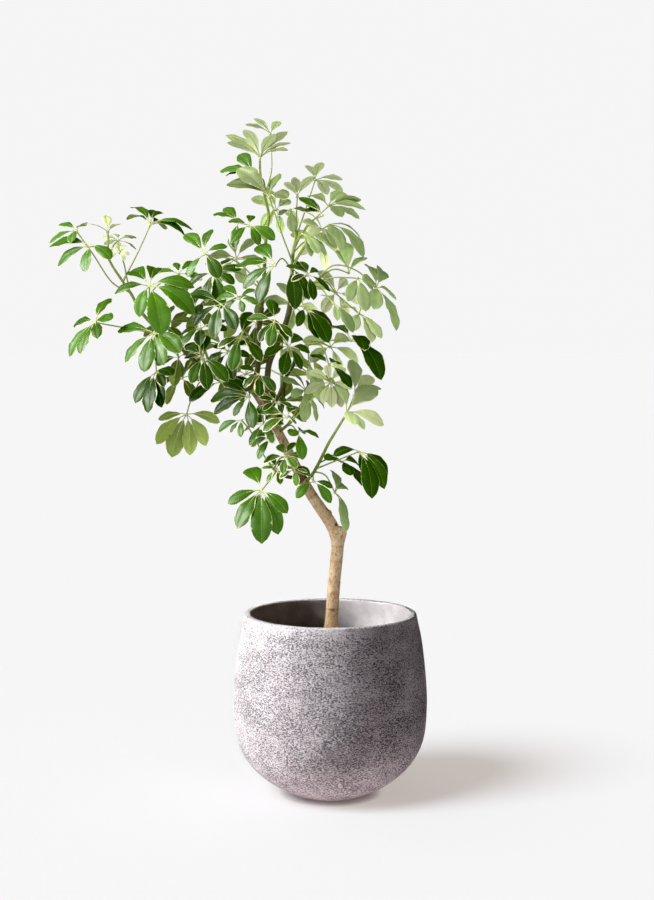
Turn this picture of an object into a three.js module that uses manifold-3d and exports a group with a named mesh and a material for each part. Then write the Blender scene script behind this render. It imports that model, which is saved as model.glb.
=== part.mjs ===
// Potted umbrella plant: a stone planter, its soil, a woody trunk and the leafy shoots it carries.
// Millimetres, +Z up. The origin is the centre of the planter's foot, on the floor, and +Y points
// away from the viewer.
import * as THREE from 'three';
import { mergeVertices } from 'three/addons/utils/BufferGeometryUtils.js';
import Module from 'manifold-3d';

const wasm = await Module();
wasm.setup();

// The viewer's eye. Plant points are noted as (u, w, depth): where they appear on the upright plane
// through the planter's axis, and how far behind that plane they lie (negative is in front).
const EYE_X = -6;
const EYE_DISTANCE = 3000;
const EYE_HEIGHT = 870;

// Planter: half outline from the foot up to the lip, as radius and height.
const POT_OUTLINE = [
  [56, 0], [68, 4], [86, 12], [109, 25], [134, 45], [154, 70], [167, 100], [172, 135],
  [173, 175], [170, 225], [163, 280], [155, 319],
];
const POT_HEIGHT = 327;
const POT_WALL = 12;
const POT_SIDES = 30;
const LIP_RADIUS = 154;
const LIP_ROUNDING = 2.5;
// The gap left between parts that touch.
const GAP = 0.3;

// Soil: the height of its surface at the wall and at the trunk, and how far it bulges between them.
const SOIL_EDGE = 258;
const SOIL_CENTRE = 264;
const SOIL_BULGE = 1;

// Wood: sides of the trunk, of a limb and of the scar, and the rings along them.
const TRUNK_SIDES = 8;
const TRUNK_STEPS = 20;
const LIMB_SIDES = 5;
const SCAR_SIDES = 6;
const LUMP_STEPS = 2;

// Curves: how closely they follow their points, and the points tried along one.
const CURVE_TENSION = 0.5;
const CURVE_SAMPLES = 80;
// Two ways whose product is above these are too nearly parallel to make a third from.
const NEARLY_PARALLEL = 0.95;
const NEARLY_UPRIGHT = 0.9;
// Corners closer than this are one.
const WELD = 1e-4;

// Stems and petioles.
const PETIOLE_RADIUS = 1.4;
const PETIOLE_SIDES = 3;
const PETIOLE_STEPS = 2;
const STEM_SIDES = 4;
const HUB_RADIUS = 3.6;
const HUB_DEPTH = 3;
const HUB_REACH = 7;
const PETIOLE_RISE = 0.14;

// Leaflets: widths and depths are parts of a leaflet's length.
const STALK_HALF_WIDTH = 1;
const STALK_RIB = 1.6;
const LEAFLET_WIDTH = 0.38;
const LEAFLET_ARCH = 0.13;
const RIB_DEPTH = 0.026;
// Rings of a leaflet, by its length: their places from hub to tip and their widths.
const STALK_SHARE = 0.2;
const LEAFLET_FORMS = [
  { below: 72, rows: [[STALK_SHARE, 0.66], [0, 1.06]] },
  { below: 200, rows: [[STALK_SHARE, 0.46, 0.78], [0, 0.82, 0.9]] },
];
// The space kept round a leaflet, and the part of a place in the ring that a noted tip takes.
const CLEARANCE = 0.4;
const TAKEN = 0.7;
// The angle between a leaf's axis and its leaflets, in degrees: drooping, or still closing when young.
const DROOP = 98;
const YOUNG = 64;
// A noted tip's depth is tried in this many steps each way; a wrong length costs this much per reach.
const DEPTH_STEPS = 6;
const LENGTH_COST = 0.9;
const ALIKE = 1e-9;
// Draws: how far a ring leaflet strays, its length, its breadth and its roll.
const STRAY = 0.3;
const LENGTH_LEAST = 0.78;
const LENGTH_RANGE = 0.2;
const BREADTH_LEAST = 0.92;
const BREADTH_RANGE = 0.16;
const ROLL = 0.45;
// Where each kind of draw starts in the row of draws that a leaf has.
const DRAW = { length: 20, roll: 40, start: 50, breadth: 60 };

// Ways a whole compound leaf can face.
const UP = [0, -0.1, 1];
const UP_LEFT = [-0.35, -0.4, 0.85];
const UP_RIGHT = [0.35, -0.4, 0.85];
const UP_TILTED = [0.05, 0.32, 0.95];
const UP_BACK = [0.1, 0.42, 0.9];
const FRONT = [0, -0.7, 0.72];
const FRONT_LEFT = [-0.34, -0.62, 0.7];
const FRONT_RIGHT = [0.34, -0.62, 0.7];
const RIGHT = [0.7, -0.36, 0.7];
const AWAY = [0, 0.9, 0.45];
const BACK_LEFT = [-0.5, 0.75, 0.6];
const BACK_RIGHT = [0.5, 0.75, 0.6];

// Bends that a leaflet tries in turn, in degrees: round the leaf's axis, and towards or away from it.
const BENDS = [[0, 0], [0, 8], [0, -8], [0, 15], [0, -15], [7, 0], [-7, 0], [13, 8], [-13, 8], [13, -8],
  [-13, -8], [0, 26], [0, -26], [22, 0], [-22, 0], [28, 14], [-28, 14]];

// Woody tubes: u, w, depth and radius of each point along them.
const TRUNK_AXIS = -14;
const TRUNK = [
  [TRUNK_AXIS, 150, 0, 12.5], [TRUNK_AXIS, 205, 0, 12.5], [TRUNK_AXIS, 258, 0, 12.4],
  [-6, 284, 0, 12], [1, 305, 0, 11.5], [4, 345, 0, 11.3], [8, 395, 0, 11.2], [12, 436, 0, 11.3],
  [12, 460, 0, 12], [2, 485, 0, 11], [-14, 509, 0, 10.3], [-36, 542, 0, 9.9], [-57, 580, 0, 9.2],
  [-76, 619, 0, 8.4], [-93, 652, 0, 8], [-107, 679, 0, 7.8], [-117, 697, 0, 7.6], [-124, 709, 0, 7.2],
];
const LIMBS = [
  // Left limb, up to the foot of the left leader.
  [[-107, 679, 0, 7.2], [-124, 708, 4, 6.6], [-136, 724, 12, 5.8], [-133, 745, 20, 5.4],
    [-128, 765, 24, 5.2], [-127, 820, 26, 5], [-121, 870, 24, 5]],
  // Left arm, which carries the far left shoot.
  [[-136, 724, 12, 5.5], [-165, 733, 30, 5], [-197, 744, 40, 4.8], [-232, 768, 46, 4.4],
    [-262, 798, 46, 4]],
  // Right limb, up to the foot of the right leader.
  [[-107, 679, 0, 7.2], [-112, 716, -8, 6], [-109, 766, -18, 5.4], [-98, 796, -24, 5.2],
    [-76, 850, -28, 5], [-68, 900, -25, 4.8], [-68, 925, -22, 4.8]],
  // Thin stem behind the right limb.
  [[-98, 662, 0, 4.2], [-86, 690, 14, 3.8], [-80, 742, 34, 3.6], [-64, 772, 40, 3.6], [-62, 800, 42, 3.6]],
  // Low twig on the left of the trunk.
  [[-50, 567, 0, 4], [-66, 569, -14, 3.6], [-82, 572, -24, 3.4], [-94, 579, -30, 3.2]],
  // Limb behind the trunk.
  [[-76, 619, 0, 5], [-94, 655, 32, 4.6], [-104, 690, 62, 4.4], [-90, 716, 86, 4.3], [-82, 738, 99, 4.2]],
];
const KNEE_STUB = [[13, 452, 0, 11.6], [18, 470, 0, 11.2], [19.5, 481, 0, 9.2]];
const SCAR_BUMP = [[-10, 501, 0, 6.5], [-4, 505, -1, 5.5], [1, 509, -2, 3.8]];

// Leafy shoots. Each stem starts inside the wood that carries it. For each compound leaf: the place on
// the stem where its petiole starts, points on the petiole's way, its hub, the way it faces, its reach
// from hub to tip, the number of leaflets in a full ring and the tips noted one by one.
const SHOOTS = [
  {
    name: 'shoot_far_left',
    colour: 0x5e8a3c,
    stem: [[-250, 786, 46, 3.2], [-278, 812, 45, 3.1], [-300, 826, 42, 3], [-333, 862, 36, 2.7],
      [-350, 893, 32, 2.5], [-368, 920, 28, 2.3], [-383, 943, 26, 2.1], [-390, 962, 26, 1.9],
      [-389, 990, 24, 1.7]],
    leaves: [
      {
        from: [-352, 895], via: [[-384, 914, 8], [-416, 962, 0]], hub: [-445, 1003, -5], face: UP_LEFT,
        reach: 48, count: 0, tips: [[-475, 1015], [-493, 982], [-455, 982], [-428, 1012]],
      },
      {
        from: [-383, 943], via: [], hub: [-420, 977, -45], face: FRONT_LEFT, reach: 68, count: 0,
        tips: [[-493, 976], [-479, 942], [-429, 931], [-384, 954]],
      },
      {
        from: [-389, 990], via: [], hub: [-390, 1001, 22], face: UP, open: YOUNG, reach: 46, count: 5,
        tips: [[-432, 1015], [-393, 1030], [-365, 1015]],
      },
      {
        from: [-388, 955], via: [], hub: [-372, 986, 60], face: UP_RIGHT, reach: 42, count: 6,
        tips: [[-340, 992], [-340, 970]],
      },
      {
        from: [-352, 900], via: [], hub: [-370, 966, -20], face: FRONT, reach: 26, count: 5,
        tips: [[-352, 962], [-361, 951]],
      },
      {
        from: [-365, 916], via: [[-338, 965, 14]], hub: [-316, 1013, 5], face: UP_RIGHT, reach: 66,
        arch: 0.2, count: 0,
        tips: [[-349, 1043], [-356, 1022], [-301, 1034], [-241, 1005], [-254, 994], [-292, 1006]],
      },
      {
        from: [-312, 838], via: [[-318, 880, -40]], hub: [-318, 906, -85], face: FRONT, reach: 84,
        arch: 0.18, count: 0,
        tips: [[-380, 893], [-355, 930], [-336, 852], [-297, 820], [-240, 856], [-238, 896], [-305, 938]],
      },
      {
        from: [-300, 826], via: [[-306, 832, -10]], hub: [-310, 824, -72], face: FRONT_LEFT, reach: 72,
        count: 0, tips: [[-375, 828], [-362, 773], [-328, 755], [-293, 768], [-260, 782]],
      },
      {
        from: [-296, 823], via: [[-368, 835, 20]], hub: [-413, 843, -10], face: FRONT_LEFT, reach: 66,
        count: 0, tips: [[-388, 886], [-452, 838], [-460, 782], [-436, 780], [-410, 814], [-384, 848]],
      },
      {
        from: [-296, 823], via: [[-308, 792, 20]], hub: [-307, 756, 0], face: FRONT_LEFT, reach: 72,
        count: 0, tips: [[-345, 700], [-322, 683], [-302, 698], [-290, 725], [-277, 750]],
      },
      {
        from: [-333, 862], via: [[-306, 906, 50]], hub: [-266, 928, 64], face: FRONT, reach: 46, count: 6,
        tips: [[-308, 930], [-290, 900], [-238, 950]],
      },
      {
        from: [-282, 815], via: [], hub: [-268, 782, 90], face: AWAY, reach: 55, count: 6,
        tips: [[-277, 730], [-266, 742]],
      },
      {
        from: [-305, 830], via: [], hub: [-292, 838, 120], face: BACK_LEFT, reach: 58, count: 6,
        tips: [[-262, 805]],
      },
    ],
  },
  {
    name: 'spray_left_inner',
    colour: 0x4f7f35,
    stem: [[-207, 750, 42, 3], [-212, 766, 22, 2.8], [-219, 788, 0, 2.4], [-226, 812, -18, 2]],
    leaves: [
      {
        from: [-216, 778], via: [], hub: [-225, 781, -95], face: FRONT, reach: 60, count: 0,
        tips: [[-258, 781], [-246, 735], [-217, 724], [-181, 738], [-222, 822], [-256, 804]],
      },
      {
        from: [-212, 766], via: [], hub: [-192, 738, 4], face: FRONT, reach: 62, count: 5,
        tips: [[-248, 697], [-172, 712]],
      },
      {
        from: [-226, 812], via: [], hub: [-228, 833, -45], face: UP_LEFT, reach: 58, count: 7,
        tips: [[-262, 803], [-232, 875]],
      },
      {
        from: [-212, 766], via: [[-236, 730, -6], [-248, 702, -14]], hub: [-254, 681, -22], face: AWAY,
        reach: 86, count: 0,
        tips: [[-305, 672], [-308, 628], [-282, 598], [-249, 608], [-220, 625], [-195, 667]],
      },
    ],
  },
  {
    name: 'leader_left',
    colour: 0x86a45a,
    stem: [[-122, 856, 25, 3.4], [-117, 915, 20, 3.4], [-115, 960, 15, 3.2], [-112, 1000, 10, 2.8],
      [-108, 1030, 8, 2.5], [-115, 1065, 8, 2.2], [-122, 1100, 6, 2], [-123, 1124, 4, 1.8]],
    leaves: [
      {
        from: [-123, 1122], via: [], hub: [-123, 1129, 2], face: UP_TILTED, open: 58, reach: 64, count: 0,
        tips: [
          [-183, 1169], [-181, 1156], [-151, 1179], [-69, 1155], [-69, 1169], [-97, 1172], [-74, 1142],
        ],
      },
      {
        from: [-115, 1065], via: [[-103, 1110, 34]], hub: [-105, 1171, 52], face: UP_TILTED, open: 70,
        reach: 42, count: 0, tips: [[-88, 1193], [-133, 1198], [-149, 1187]],
      },
      {
        from: [-119, 1085], via: [], hub: [-133, 1101, -30], face: UP_LEFT, open: 74, reach: 66, count: 0,
        tips: [[-195, 1116], [-185, 1107], [-160, 1136], [-116, 1124]],
      },
      {
        from: [-113, 985], via: [], hub: [-161, 1018, 10], face: UP_LEFT, reach: 52, count: 0,
        tips: [[-206, 1032], [-187, 1043], [-168, 972]],
      },
      {
        from: [-115, 955], via: [], hub: [-143, 1012, -50], face: FRONT, reach: 50, count: 5,
        tips: [[-126, 978], [-97, 987], [-138, 1030]],
      },
      {
        from: [-118, 905], via: [[-165, 950, 0]], hub: [-221, 962, -40], face: FRONT_LEFT, reach: 60,
        count: 0, tips: [[-251, 922], [-195, 920], [-255, 998], [-209, 1006], [-180, 976]],
      },
      {
        from: [-118, 900], via: [[-160, 930, 24]], hub: [-204, 930, 30], face: FRONT_LEFT, reach: 58,
        count: 7, tips: [[-218, 878], [-196, 872], [-250, 905]],
      },
      {
        from: [-119, 890], via: [], hub: [-160, 885, -50], face: FRONT_LEFT, reach: 42, count: 6,
        tips: [[-200, 885], [-187, 907]],
      },
      {
        from: [-121, 872], via: [[-150, 890, 0]], hub: [-192, 875, -95], face: FRONT_LEFT, reach: 60,
        count: 0, tips: [[-203, 815], [-165, 830], [-241, 836], [-253, 890]],
      },
      {
        from: [-116, 930], via: [[-135, 950, 60]], hub: [-165, 955, 110], face: BACK_LEFT, reach: 66,
        count: 6, tips: [],
      },
      {
        from: [-112, 1010], via: [], hub: [-95, 1040, 75], face: BACK_RIGHT, reach: 56, count: 6, tips: [],
      },
    ],
  },
  {
    name: 'leader_right',
    colour: 0x7a9c50,
    stem: [[-68, 912, -23, 3.2], [-66, 960, -18, 3], [-62, 985, -16, 2.4], [-60, 1000, -15, 2]],
    leaves: [
      {
        from: [-67, 950], via: [[-86, 1000, -34]], hub: [-107, 1062, -50], face: FRONT_LEFT, open: 84,
        reach: 66, count: 0, tips: [[-145, 1100], [-89, 1103], [-182, 1084], [-160, 1098], [-73, 1060]],
      },
      {
        from: [-60, 998], via: [], hub: [-58, 1062, 22], face: UP_BACK, open: 70, reach: 44, count: 0,
        tips: [[-80, 1088], [-62, 1097], [-25, 1090]],
      },
      {
        from: [-61, 990], via: [[-42, 1045, 0]], hub: [-27, 1091, 10], face: UP_BACK, open: 84, reach: 48,
        count: 0, tips: [[-40, 1117], [-15, 1117], [22, 1092], [22, 1070], [-5, 1066]],
      },
      {
        from: [-63, 978], via: [[-36, 1015, -24]], hub: [-4, 1046, -40], face: UP_BACK, reach: 64,
        count: 0, tips: [[-38, 1064], [24, 1070], [62, 1040], [51, 1024], [21, 1027], [53, 1050]],
      },
      {
        from: [-64, 970], via: [], hub: [-14, 1030, -92], face: UP_LEFT, reach: 46, count: 0,
        tips: [[-41, 1052], [-55, 1056], [-48, 1039]],
      },
      {
        from: [-66, 945], via: [[-36, 990, 20]], hub: [-2, 1014, 34], face: UP_RIGHT, reach: 70,
        arch: 0.18, count: 0, tips: [[52, 990], [58, 956], [21, 971], [6, 981]],
      },
      {
        from: [-66, 940], via: [[-38, 985, -44]], hub: [-16, 1006, -62], face: RIGHT, reach: 50, count: 6,
        tips: [[18, 970], [6, 978]],
      },
      {
        from: [-64, 962], via: [], hub: [-48, 998, -84], face: FRONT_RIGHT, reach: 58, count: 0,
        tips: [[-34, 958], [-7, 960], [9, 967], [-24, 957]],
      },
      {
        from: [-61, 990], via: [], hub: [-70, 1040, -18], face: FRONT, reach: 44, count: 0,
        tips: [[-92, 1030], [-40, 1038], [-65, 1000]],
      },
      {
        from: [-67, 935], via: [[-84, 955, -60]], hub: [-97, 943, -112], face: FRONT_LEFT, reach: 72,
        count: 0, tips: [[-167, 941], [-154, 902], [-126, 877], [-129, 977]],
      },
      {
        from: [-67, 930], via: [], hub: [-70, 940, -72], face: FRONT_RIGHT, reach: 70, count: 0,
        tips: [[-57, 872], [-33, 888], [-45, 934]],
      },
      {
        from: [-65, 965], via: [[-44, 985, 46]], hub: [-22, 985, 84], face: BACK_RIGHT, reach: 62,
        count: 6, tips: [],
      },
    ],
  },
  {
    name: 'spray_upper_right',
    colour: 0x6f9a47,
    stem: [[-68, 886, -26, 2.8], [-56, 900, -32, 2.6], [-42, 908, -38, 2.4], [-27, 914, -42, 2]],
    leaves: [
      {
        from: [-27, 914], via: [[4, 936, -44]], hub: [32, 930, -20], face: UP, reach: 50, count: 0,
        tips: [[12, 970], [27, 978], [64, 957]],
      },
      {
        from: [-32, 912], via: [[6, 922, -60]], hub: [48, 921, -74], face: FRONT_RIGHT, reach: 60,
        count: 0, tips: [[62, 862], [75, 900], [30, 880]],
      },
      {
        from: [-27, 914], via: [[5, 943, -50], [46, 934, -46]], hub: [80, 903, -40], face: RIGHT,
        reach: 76, arch: 0.14, count: 0,
        tips: [[65, 943], [92, 934], [113, 884], [116, 828], [76, 866], [50, 908]],
      },
      {
        from: [-36, 910], via: [[0, 900, -60]], hub: [50, 859, -60], face: UP_RIGHT, reach: 58, count: 0,
        tips: [[40, 828], [73, 808], [90, 815], [62, 872], [20, 868]],
      },
      {
        from: [-44, 907], via: [], hub: [5, 877, -104], face: FRONT_RIGHT, reach: 50, count: 0,
        tips: [[-14, 890], [40, 825], [12, 846]],
      },
      {
        from: [-50, 904], via: [[-52, 888, -36]], hub: [-46, 868, -50], face: FRONT_RIGHT, reach: 58,
        count: 0, tips: [[-59, 836], [-21, 815], [4, 835], [-8, 800]],
      },
      {
        from: [-50, 904], via: [], hub: [-40, 926, -80], face: FRONT_RIGHT, reach: 44, count: 6,
        tips: [[-30, 882], [0, 897]],
      },
      {
        from: [-40, 909], via: [[-10, 915, 30]], hub: [10, 895, 70], face: BACK_RIGHT, reach: 64, count: 6,
        tips: [],
      },
    ],
  },
  {
    name: 'spray_right_middle',
    colour: 0x4c7a34,
    stem: [[-62, 788, 41, 2.8], [-52, 798, 30, 2.6], [-40, 804, 16, 2.4], [-26, 806, 0, 2]],
    leaves: [
      {
        from: [-28, 806], via: [[0, 812, -6]], hub: [37, 811, -10], face: UP, reach: 84, arch: 0.2,
        count: 0, tips: [[-3, 831], [90, 741], [60, 793]],
      },
      {
        from: [-30, 806], via: [[-14, 800, -30]], hub: [-2, 768, -60], face: UP_RIGHT, reach: 56, count: 0,
        tips: [[37, 727], [13, 770], [-35, 787]],
      },
      {
        from: [-40, 804], via: [], hub: [-38, 772, -30], face: AWAY, reach: 60, count: 3,
        tips: [[-38, 742], [-18, 705]],
      },
      {
        from: [-44, 802], via: [[-24, 810, 60]], hub: [0, 800, 100], face: BACK_RIGHT, reach: 66, count: 6,
        tips: [],
      },
    ],
  },
  {
    name: 'shoot_lower_right',
    colour: 0x8aa858,
    stem: [[-47, 560, 0, 3], [-34, 572, -14, 2.9], [-22, 592, -24, 2.8], [-12, 612, -30, 2.7],
      [-2, 632, -36, 2.5], [15, 660, -42, 2.2], [26, 678, -46, 2]],
    leaves: [
      {
        from: [26, 678], via: [], hub: [29, 685, -54], face: FRONT_RIGHT, open: 88, reach: 72, count: 0,
        tips: [[82, 730], [14, 740], [60, 654], [95, 662], [42, 662]],
      },
      {
        from: [18, 664], via: [[32, 690, -20]], hub: [42, 715, -8], face: UP_RIGHT, open: 76, reach: 62,
        count: 0, tips: [[40, 778], [76, 747], [90, 727]],
      },
      {
        from: [-26, 585], via: [[20, 603, -50]], hub: [50, 615, -66], face: FRONT_RIGHT, reach: 78,
        arch: 0.18, count: 0, tips: [[4, 607], [57, 578], [74, 531], [102, 572], [96, 548]],
      },
      {
        from: [-20, 595], via: [], hub: [20, 597, -6], face: UP_RIGHT, reach: 56, count: 0,
        tips: [[50, 592], [60, 552], [36, 572], [-6, 588]],
      },
      {
        from: [-32, 575], via: [], hub: [-30, 562, -70], face: FRONT, reach: 48, count: 0,
        tips: [[5, 550], [1, 523], [-61, 532], [-61, 587]],
      },
      {
        from: [-28, 580], via: [[-8, 572, -30]], hub: [8, 542, -36], face: RIGHT, reach: 66, count: 0,
        tips: [[26, 554], [32, 500], [28, 472], [8, 578]],
      },
    ],
  },
  {
    name: 'spray_low_left',
    colour: 0x3f7030,
    stem: [[-86, 574, -26, 2.6], [-96, 580, -32, 2.5], [-104, 588, -40, 2.2], [-109, 596, -46, 1.9]],
    leaves: [
      {
        from: [-96, 580], via: [[-106, 566, -52]], hub: [-122, 546, -84], face: FRONT, reach: 92, count: 0,
        tips: [[-183, 522], [-165, 476], [-122, 450], [-92, 472], [-76, 505], [-147, 585], [-136, 500]],
      },
      {
        from: [-107, 592], via: [[-120, 612, -54], [-140, 650, -64]], hub: [-157, 671, -76],
        face: FRONT_LEFT, reach: 42, count: 0, tips: [[-198, 650], [-177, 648], [-158, 640], [-120, 668]],
      },
      {
        from: [-100, 584], via: [], hub: [-80, 606, -74], face: FRONT_LEFT, reach: 44, count: 6,
        tips: [[-120, 594], [-84, 574]],
      },
      {
        from: [-98, 582], via: [], hub: [-96, 584, -58], face: FRONT, reach: 30, count: 6,
        tips: [[-113, 560], [-88, 556], [-78, 574]],
      },
      {
        from: [-106, 591], via: [], hub: [-64, 582, -80], face: FRONT, reach: 34, count: 6,
        tips: [[-60, 553], [-40, 578]],
      },
    ],
  },
  {
    name: 'spray_fork',
    colour: 0x4a7b35,
    stem: [[-134, 724, 12, 2.8], [-141, 722, -10, 2.6], [-142, 720, -34, 2.4], [-136, 722, -56, 2]],
    leaves: [
      {
        from: [-142, 720], via: [], hub: [-143, 712, -62], face: FRONT_LEFT, reach: 68, count: 0,
        tips: [[-207, 682], [-171, 677], [-212, 706], [-184, 733], [-136, 656]],
      },
      {
        from: [-136, 722], via: [], hub: [-128, 752, -96], face: FRONT, reach: 46, count: 0,
        tips: [[-160, 765], [-153, 728], [-125, 712], [-97, 722]],
      },
      {
        from: [-137, 722], via: [], hub: [-96, 702, -80], face: FRONT_RIGHT, reach: 34, count: 6,
        tips: [[-68, 688]],
      },
      {
        from: [-140, 722], via: [[-122, 690, -44]], hub: [-118, 664, -64], face: FRONT_LEFT, reach: 44,
        count: 6, tips: [[-143, 625], [-100, 628]],
      },
    ],
  },
  {
    name: 'spray_lower_centre',
    colour: 0x45772f,
    stem: [[-91, 650, 0, 2.8], [-81, 658, -22, 2.6], [-74, 664, -40, 2.4], [-68, 668, -58, 2]],
    leaves: [
      {
        from: [-68, 668], via: [], hub: [-76, 676, -98], face: FRONT, reach: 50, count: 0,
        tips: [[-120, 650], [-134, 688], [-66, 697], [-60, 664]],
      },
      {
        from: [-78, 660], via: [], hub: [-58, 650, -66], face: FRONT_RIGHT, reach: 50, count: 0,
        tips: [[-71, 643], [-50, 648], [-20, 640], [-50, 600]],
      },
      {
        from: [-80, 658], via: [], hub: [-103, 640, -52], face: FRONT_LEFT, reach: 46, count: 0,
        tips: [[-128, 601], [-141, 624], [-138, 640]],
      },
      {
        from: [-72, 665], via: [[-35, 706, -46]], hub: [0, 737, -30], face: AWAY, reach: 50, count: 7,
        tips: [[-14, 700], [2, 690], [20, 690]],
      },
      {
        from: [-76, 662], via: [[-52, 700, -10]], hub: [-44, 722, 0], face: RIGHT, reach: 58, count: 6,
        tips: [[-25, 668], [-48, 668]],
      },
    ],
  },
  {
    name: 'spray_centre',
    colour: 0x3d6d2d,
    stem: [[-127, 796, 25, 2.8], [-136, 806, 2, 2.6], [-142, 816, -22, 2.4], [-146, 822, -40, 2]],
    leaves: [
      {
        from: [-146, 822], via: [], hub: [-158, 816, -98], face: FRONT, reach: 54, count: 0,
        tips: [[-121, 773], [-174, 758], [-199, 799], [-140, 862]],
      },
      {
        from: [-142, 816], via: [], hub: [-180, 790, -40], face: FRONT_LEFT, reach: 56, count: 7,
        tips: [[-205, 750], [-170, 742]],
      },
    ],
  },
  {
    name: 'spray_right_limb',
    colour: 0x3f7030,
    stem: [[-93, 808, -25, 2.8], [-97, 822, -44, 2.6], [-98, 832, -58, 2.4], [-98, 838, -72, 2]],
    leaves: [
      {
        from: [-98, 838], via: [], hub: [-98, 844, -106], face: FRONT, reach: 54, count: 0,
        tips: [[-147, 849], [-125, 808], [-107, 794], [-67, 816], [-105, 884]],
      },
      {
        from: [-98, 830], via: [], hub: [-74, 800, -70], face: FRONT_RIGHT, reach: 54, count: 7,
        tips: [[-85, 750], [-52, 760]],
      },
    ],
  },
  {
    name: 'spray_behind_trunk',
    colour: 0x46762f,
    stem: [[-86, 728, 93, 3], [-86, 765, 116, 2.8], [-86, 800, 130, 2.4], [-82, 835, 138, 2]],
    leaves: [
      {
        from: [-84, 750], via: [], hub: [-150, 752, 165], face: BACK_LEFT, reach: 66, count: 6, tips: [],
      },
      {
        from: [-86, 765], via: [], hub: [-28, 745, 165], face: BACK_RIGHT, reach: 64, count: 6, tips: [],
      },
      {
        from: [-86, 800], via: [], hub: [-130, 842, 188], face: BACK_LEFT, reach: 66, count: 6, tips: [],
      },
      {
        from: [-82, 835], via: [], hub: [-62, 870, 176], face: BACK_RIGHT, reach: 66, count: 6, tips: [],
      },
      {
        from: [-84, 745], via: [], hub: [-88, 700, 172], face: AWAY, reach: 64, count: 6, tips: [],
      },
    ],
  },
  {
    name: 'spray_behind_left',
    colour: 0x4f7f35,
    stem: [[-214, 756, 44, 3], [-222, 772, 72, 2.8], [-230, 796, 98, 2.4], [-232, 820, 116, 2]],
    leaves: [
      {
        from: [-226, 784], via: [], hub: [-262, 745, 140], face: BACK_LEFT, reach: 66, count: 6, tips: [],
      },
      {
        from: [-230, 796], via: [], hub: [-190, 800, 165], face: AWAY, reach: 64, count: 6, tips: [],
      },
      {
        from: [-232, 820], via: [], hub: [-238, 866, 150], face: BACK_LEFT, reach: 66, count: 6, tips: [],
      },
    ],
  },
];

// The place in space of a noted point.
function seen(u, w, depth) {
  const scale = (EYE_DISTANCE + depth) / EYE_DISTANCE;
  return new THREE.Vector3(EYE_X + (u - EYE_X) * scale, depth, EYE_HEIGHT + (w - EYE_HEIGHT) * scale);
}

// A repeatable draw between 0 and 1 for two whole numbers.
function draw(i, j) {
  const s = Math.sin(i * 12.9898 + j * 78.233) * 43758.5453;
  return s - Math.floor(s);
}

// The shape alone, with its double corners joined.
function bare(geometry) {
  geometry.deleteAttribute('normal');
  geometry.deleteAttribute('uv');
  return mergeVertices(geometry, WELD);
}

function closedSolid(positions, triangles) {
  return new wasm.Manifold(new wasm.Mesh({
    numProp: 3,
    vertProperties: new Float32Array(positions),
    triVerts: new Uint32Array(triangles),
  }));
}

function solidFrom(geometry) {
  const closed = bare(geometry);
  return closedSolid(closed.attributes.position.array, closed.index.array);
}

function geometryFrom(solid) {
  const mesh = solid.getMesh();
  const geometry = new THREE.BufferGeometry();
  geometry.setAttribute('position', new THREE.BufferAttribute(mesh.vertProperties, 3));
  geometry.setIndex(new THREE.BufferAttribute(mesh.triVerts, 1));
  geometry.computeVertexNormals();
  return geometry;
}

function curveThrough(points) {
  return new THREE.CatmullRomCurve3(points, false, 'catmullrom', CURVE_TENSION);
}

// A cylinder bent along points that each have a radius; grow widens it all round.
function bentTube(points, sides, steps, grow = 0) {
  const curve = curveThrough(points.map((p) => p.position));
  const last = points.length - 1;
  const rings = [];
  let side = new THREE.Vector3(1, 0, 0);
  for (let k = 0; k <= steps; k += 1) {
    const t = k / steps;
    const along = curve.getTangent(t);
    if (Math.abs(side.dot(along)) > NEARLY_PARALLEL) {
      side = new THREE.Vector3(0, 1, 0);
    }
    side.addScaledVector(along, -side.dot(along)).normalize();
    const low = Math.min(Math.floor(t * last), last - 1);
    const radius = THREE.MathUtils.lerp(points[low].radius, points[low + 1].radius, t * last - low) + grow;
    const centre = curve.getPoint(t);
    if (k === 0 || k === steps) {
      centre.addScaledVector(along, k === 0 ? -grow : grow);
    }
    rings.push({ centre, side: side.clone(), out: side.clone().cross(along), radius });
  }
  const tube = bare(new THREE.CylinderGeometry(1, 1, 1, sides, steps));
  const position = tube.attributes.position;
  for (let i = 0; i < position.count; i += 1) {
    const ring = rings[Math.round((position.getY(i) + 0.5) * steps)];
    const p = ring.centre.clone();
    p.addScaledVector(ring.side, position.getX(i) * ring.radius);
    p.addScaledVector(ring.out, position.getZ(i) * ring.radius);
    position.setXYZ(i, p.x, p.y, p.z);
  }
  return tube;
}

// Noted tube rows as places with a radius.
function stationsOf(rows) {
  return rows.map(([u, w, depth, radius]) => ({ position: seen(u, w, depth), radius }));
}

function potOutline() {
  return POT_OUTLINE.map(([r, z]) => new THREE.Vector2(r, z));
}

// Every other point of the planter's outline moved inwards by the thickness, below the given height.
function potInside(thickness, top) {
  const outline = potOutline();
  const inside = [];
  for (let i = 1; i < outline.length; i += 2) {
    const before = outline[Math.max(i - 1, 0)];
    const after = outline[Math.min(i + 1, outline.length - 1)];
    const slope = after.clone().sub(before).normalize();
    const p = new THREE.Vector2(outline[i].x - slope.y * thickness, outline[i].y + slope.x * thickness);
    if (p.y < top && p.x > 0) {
      inside.push(p);
    }
  }
  return inside;
}

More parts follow.
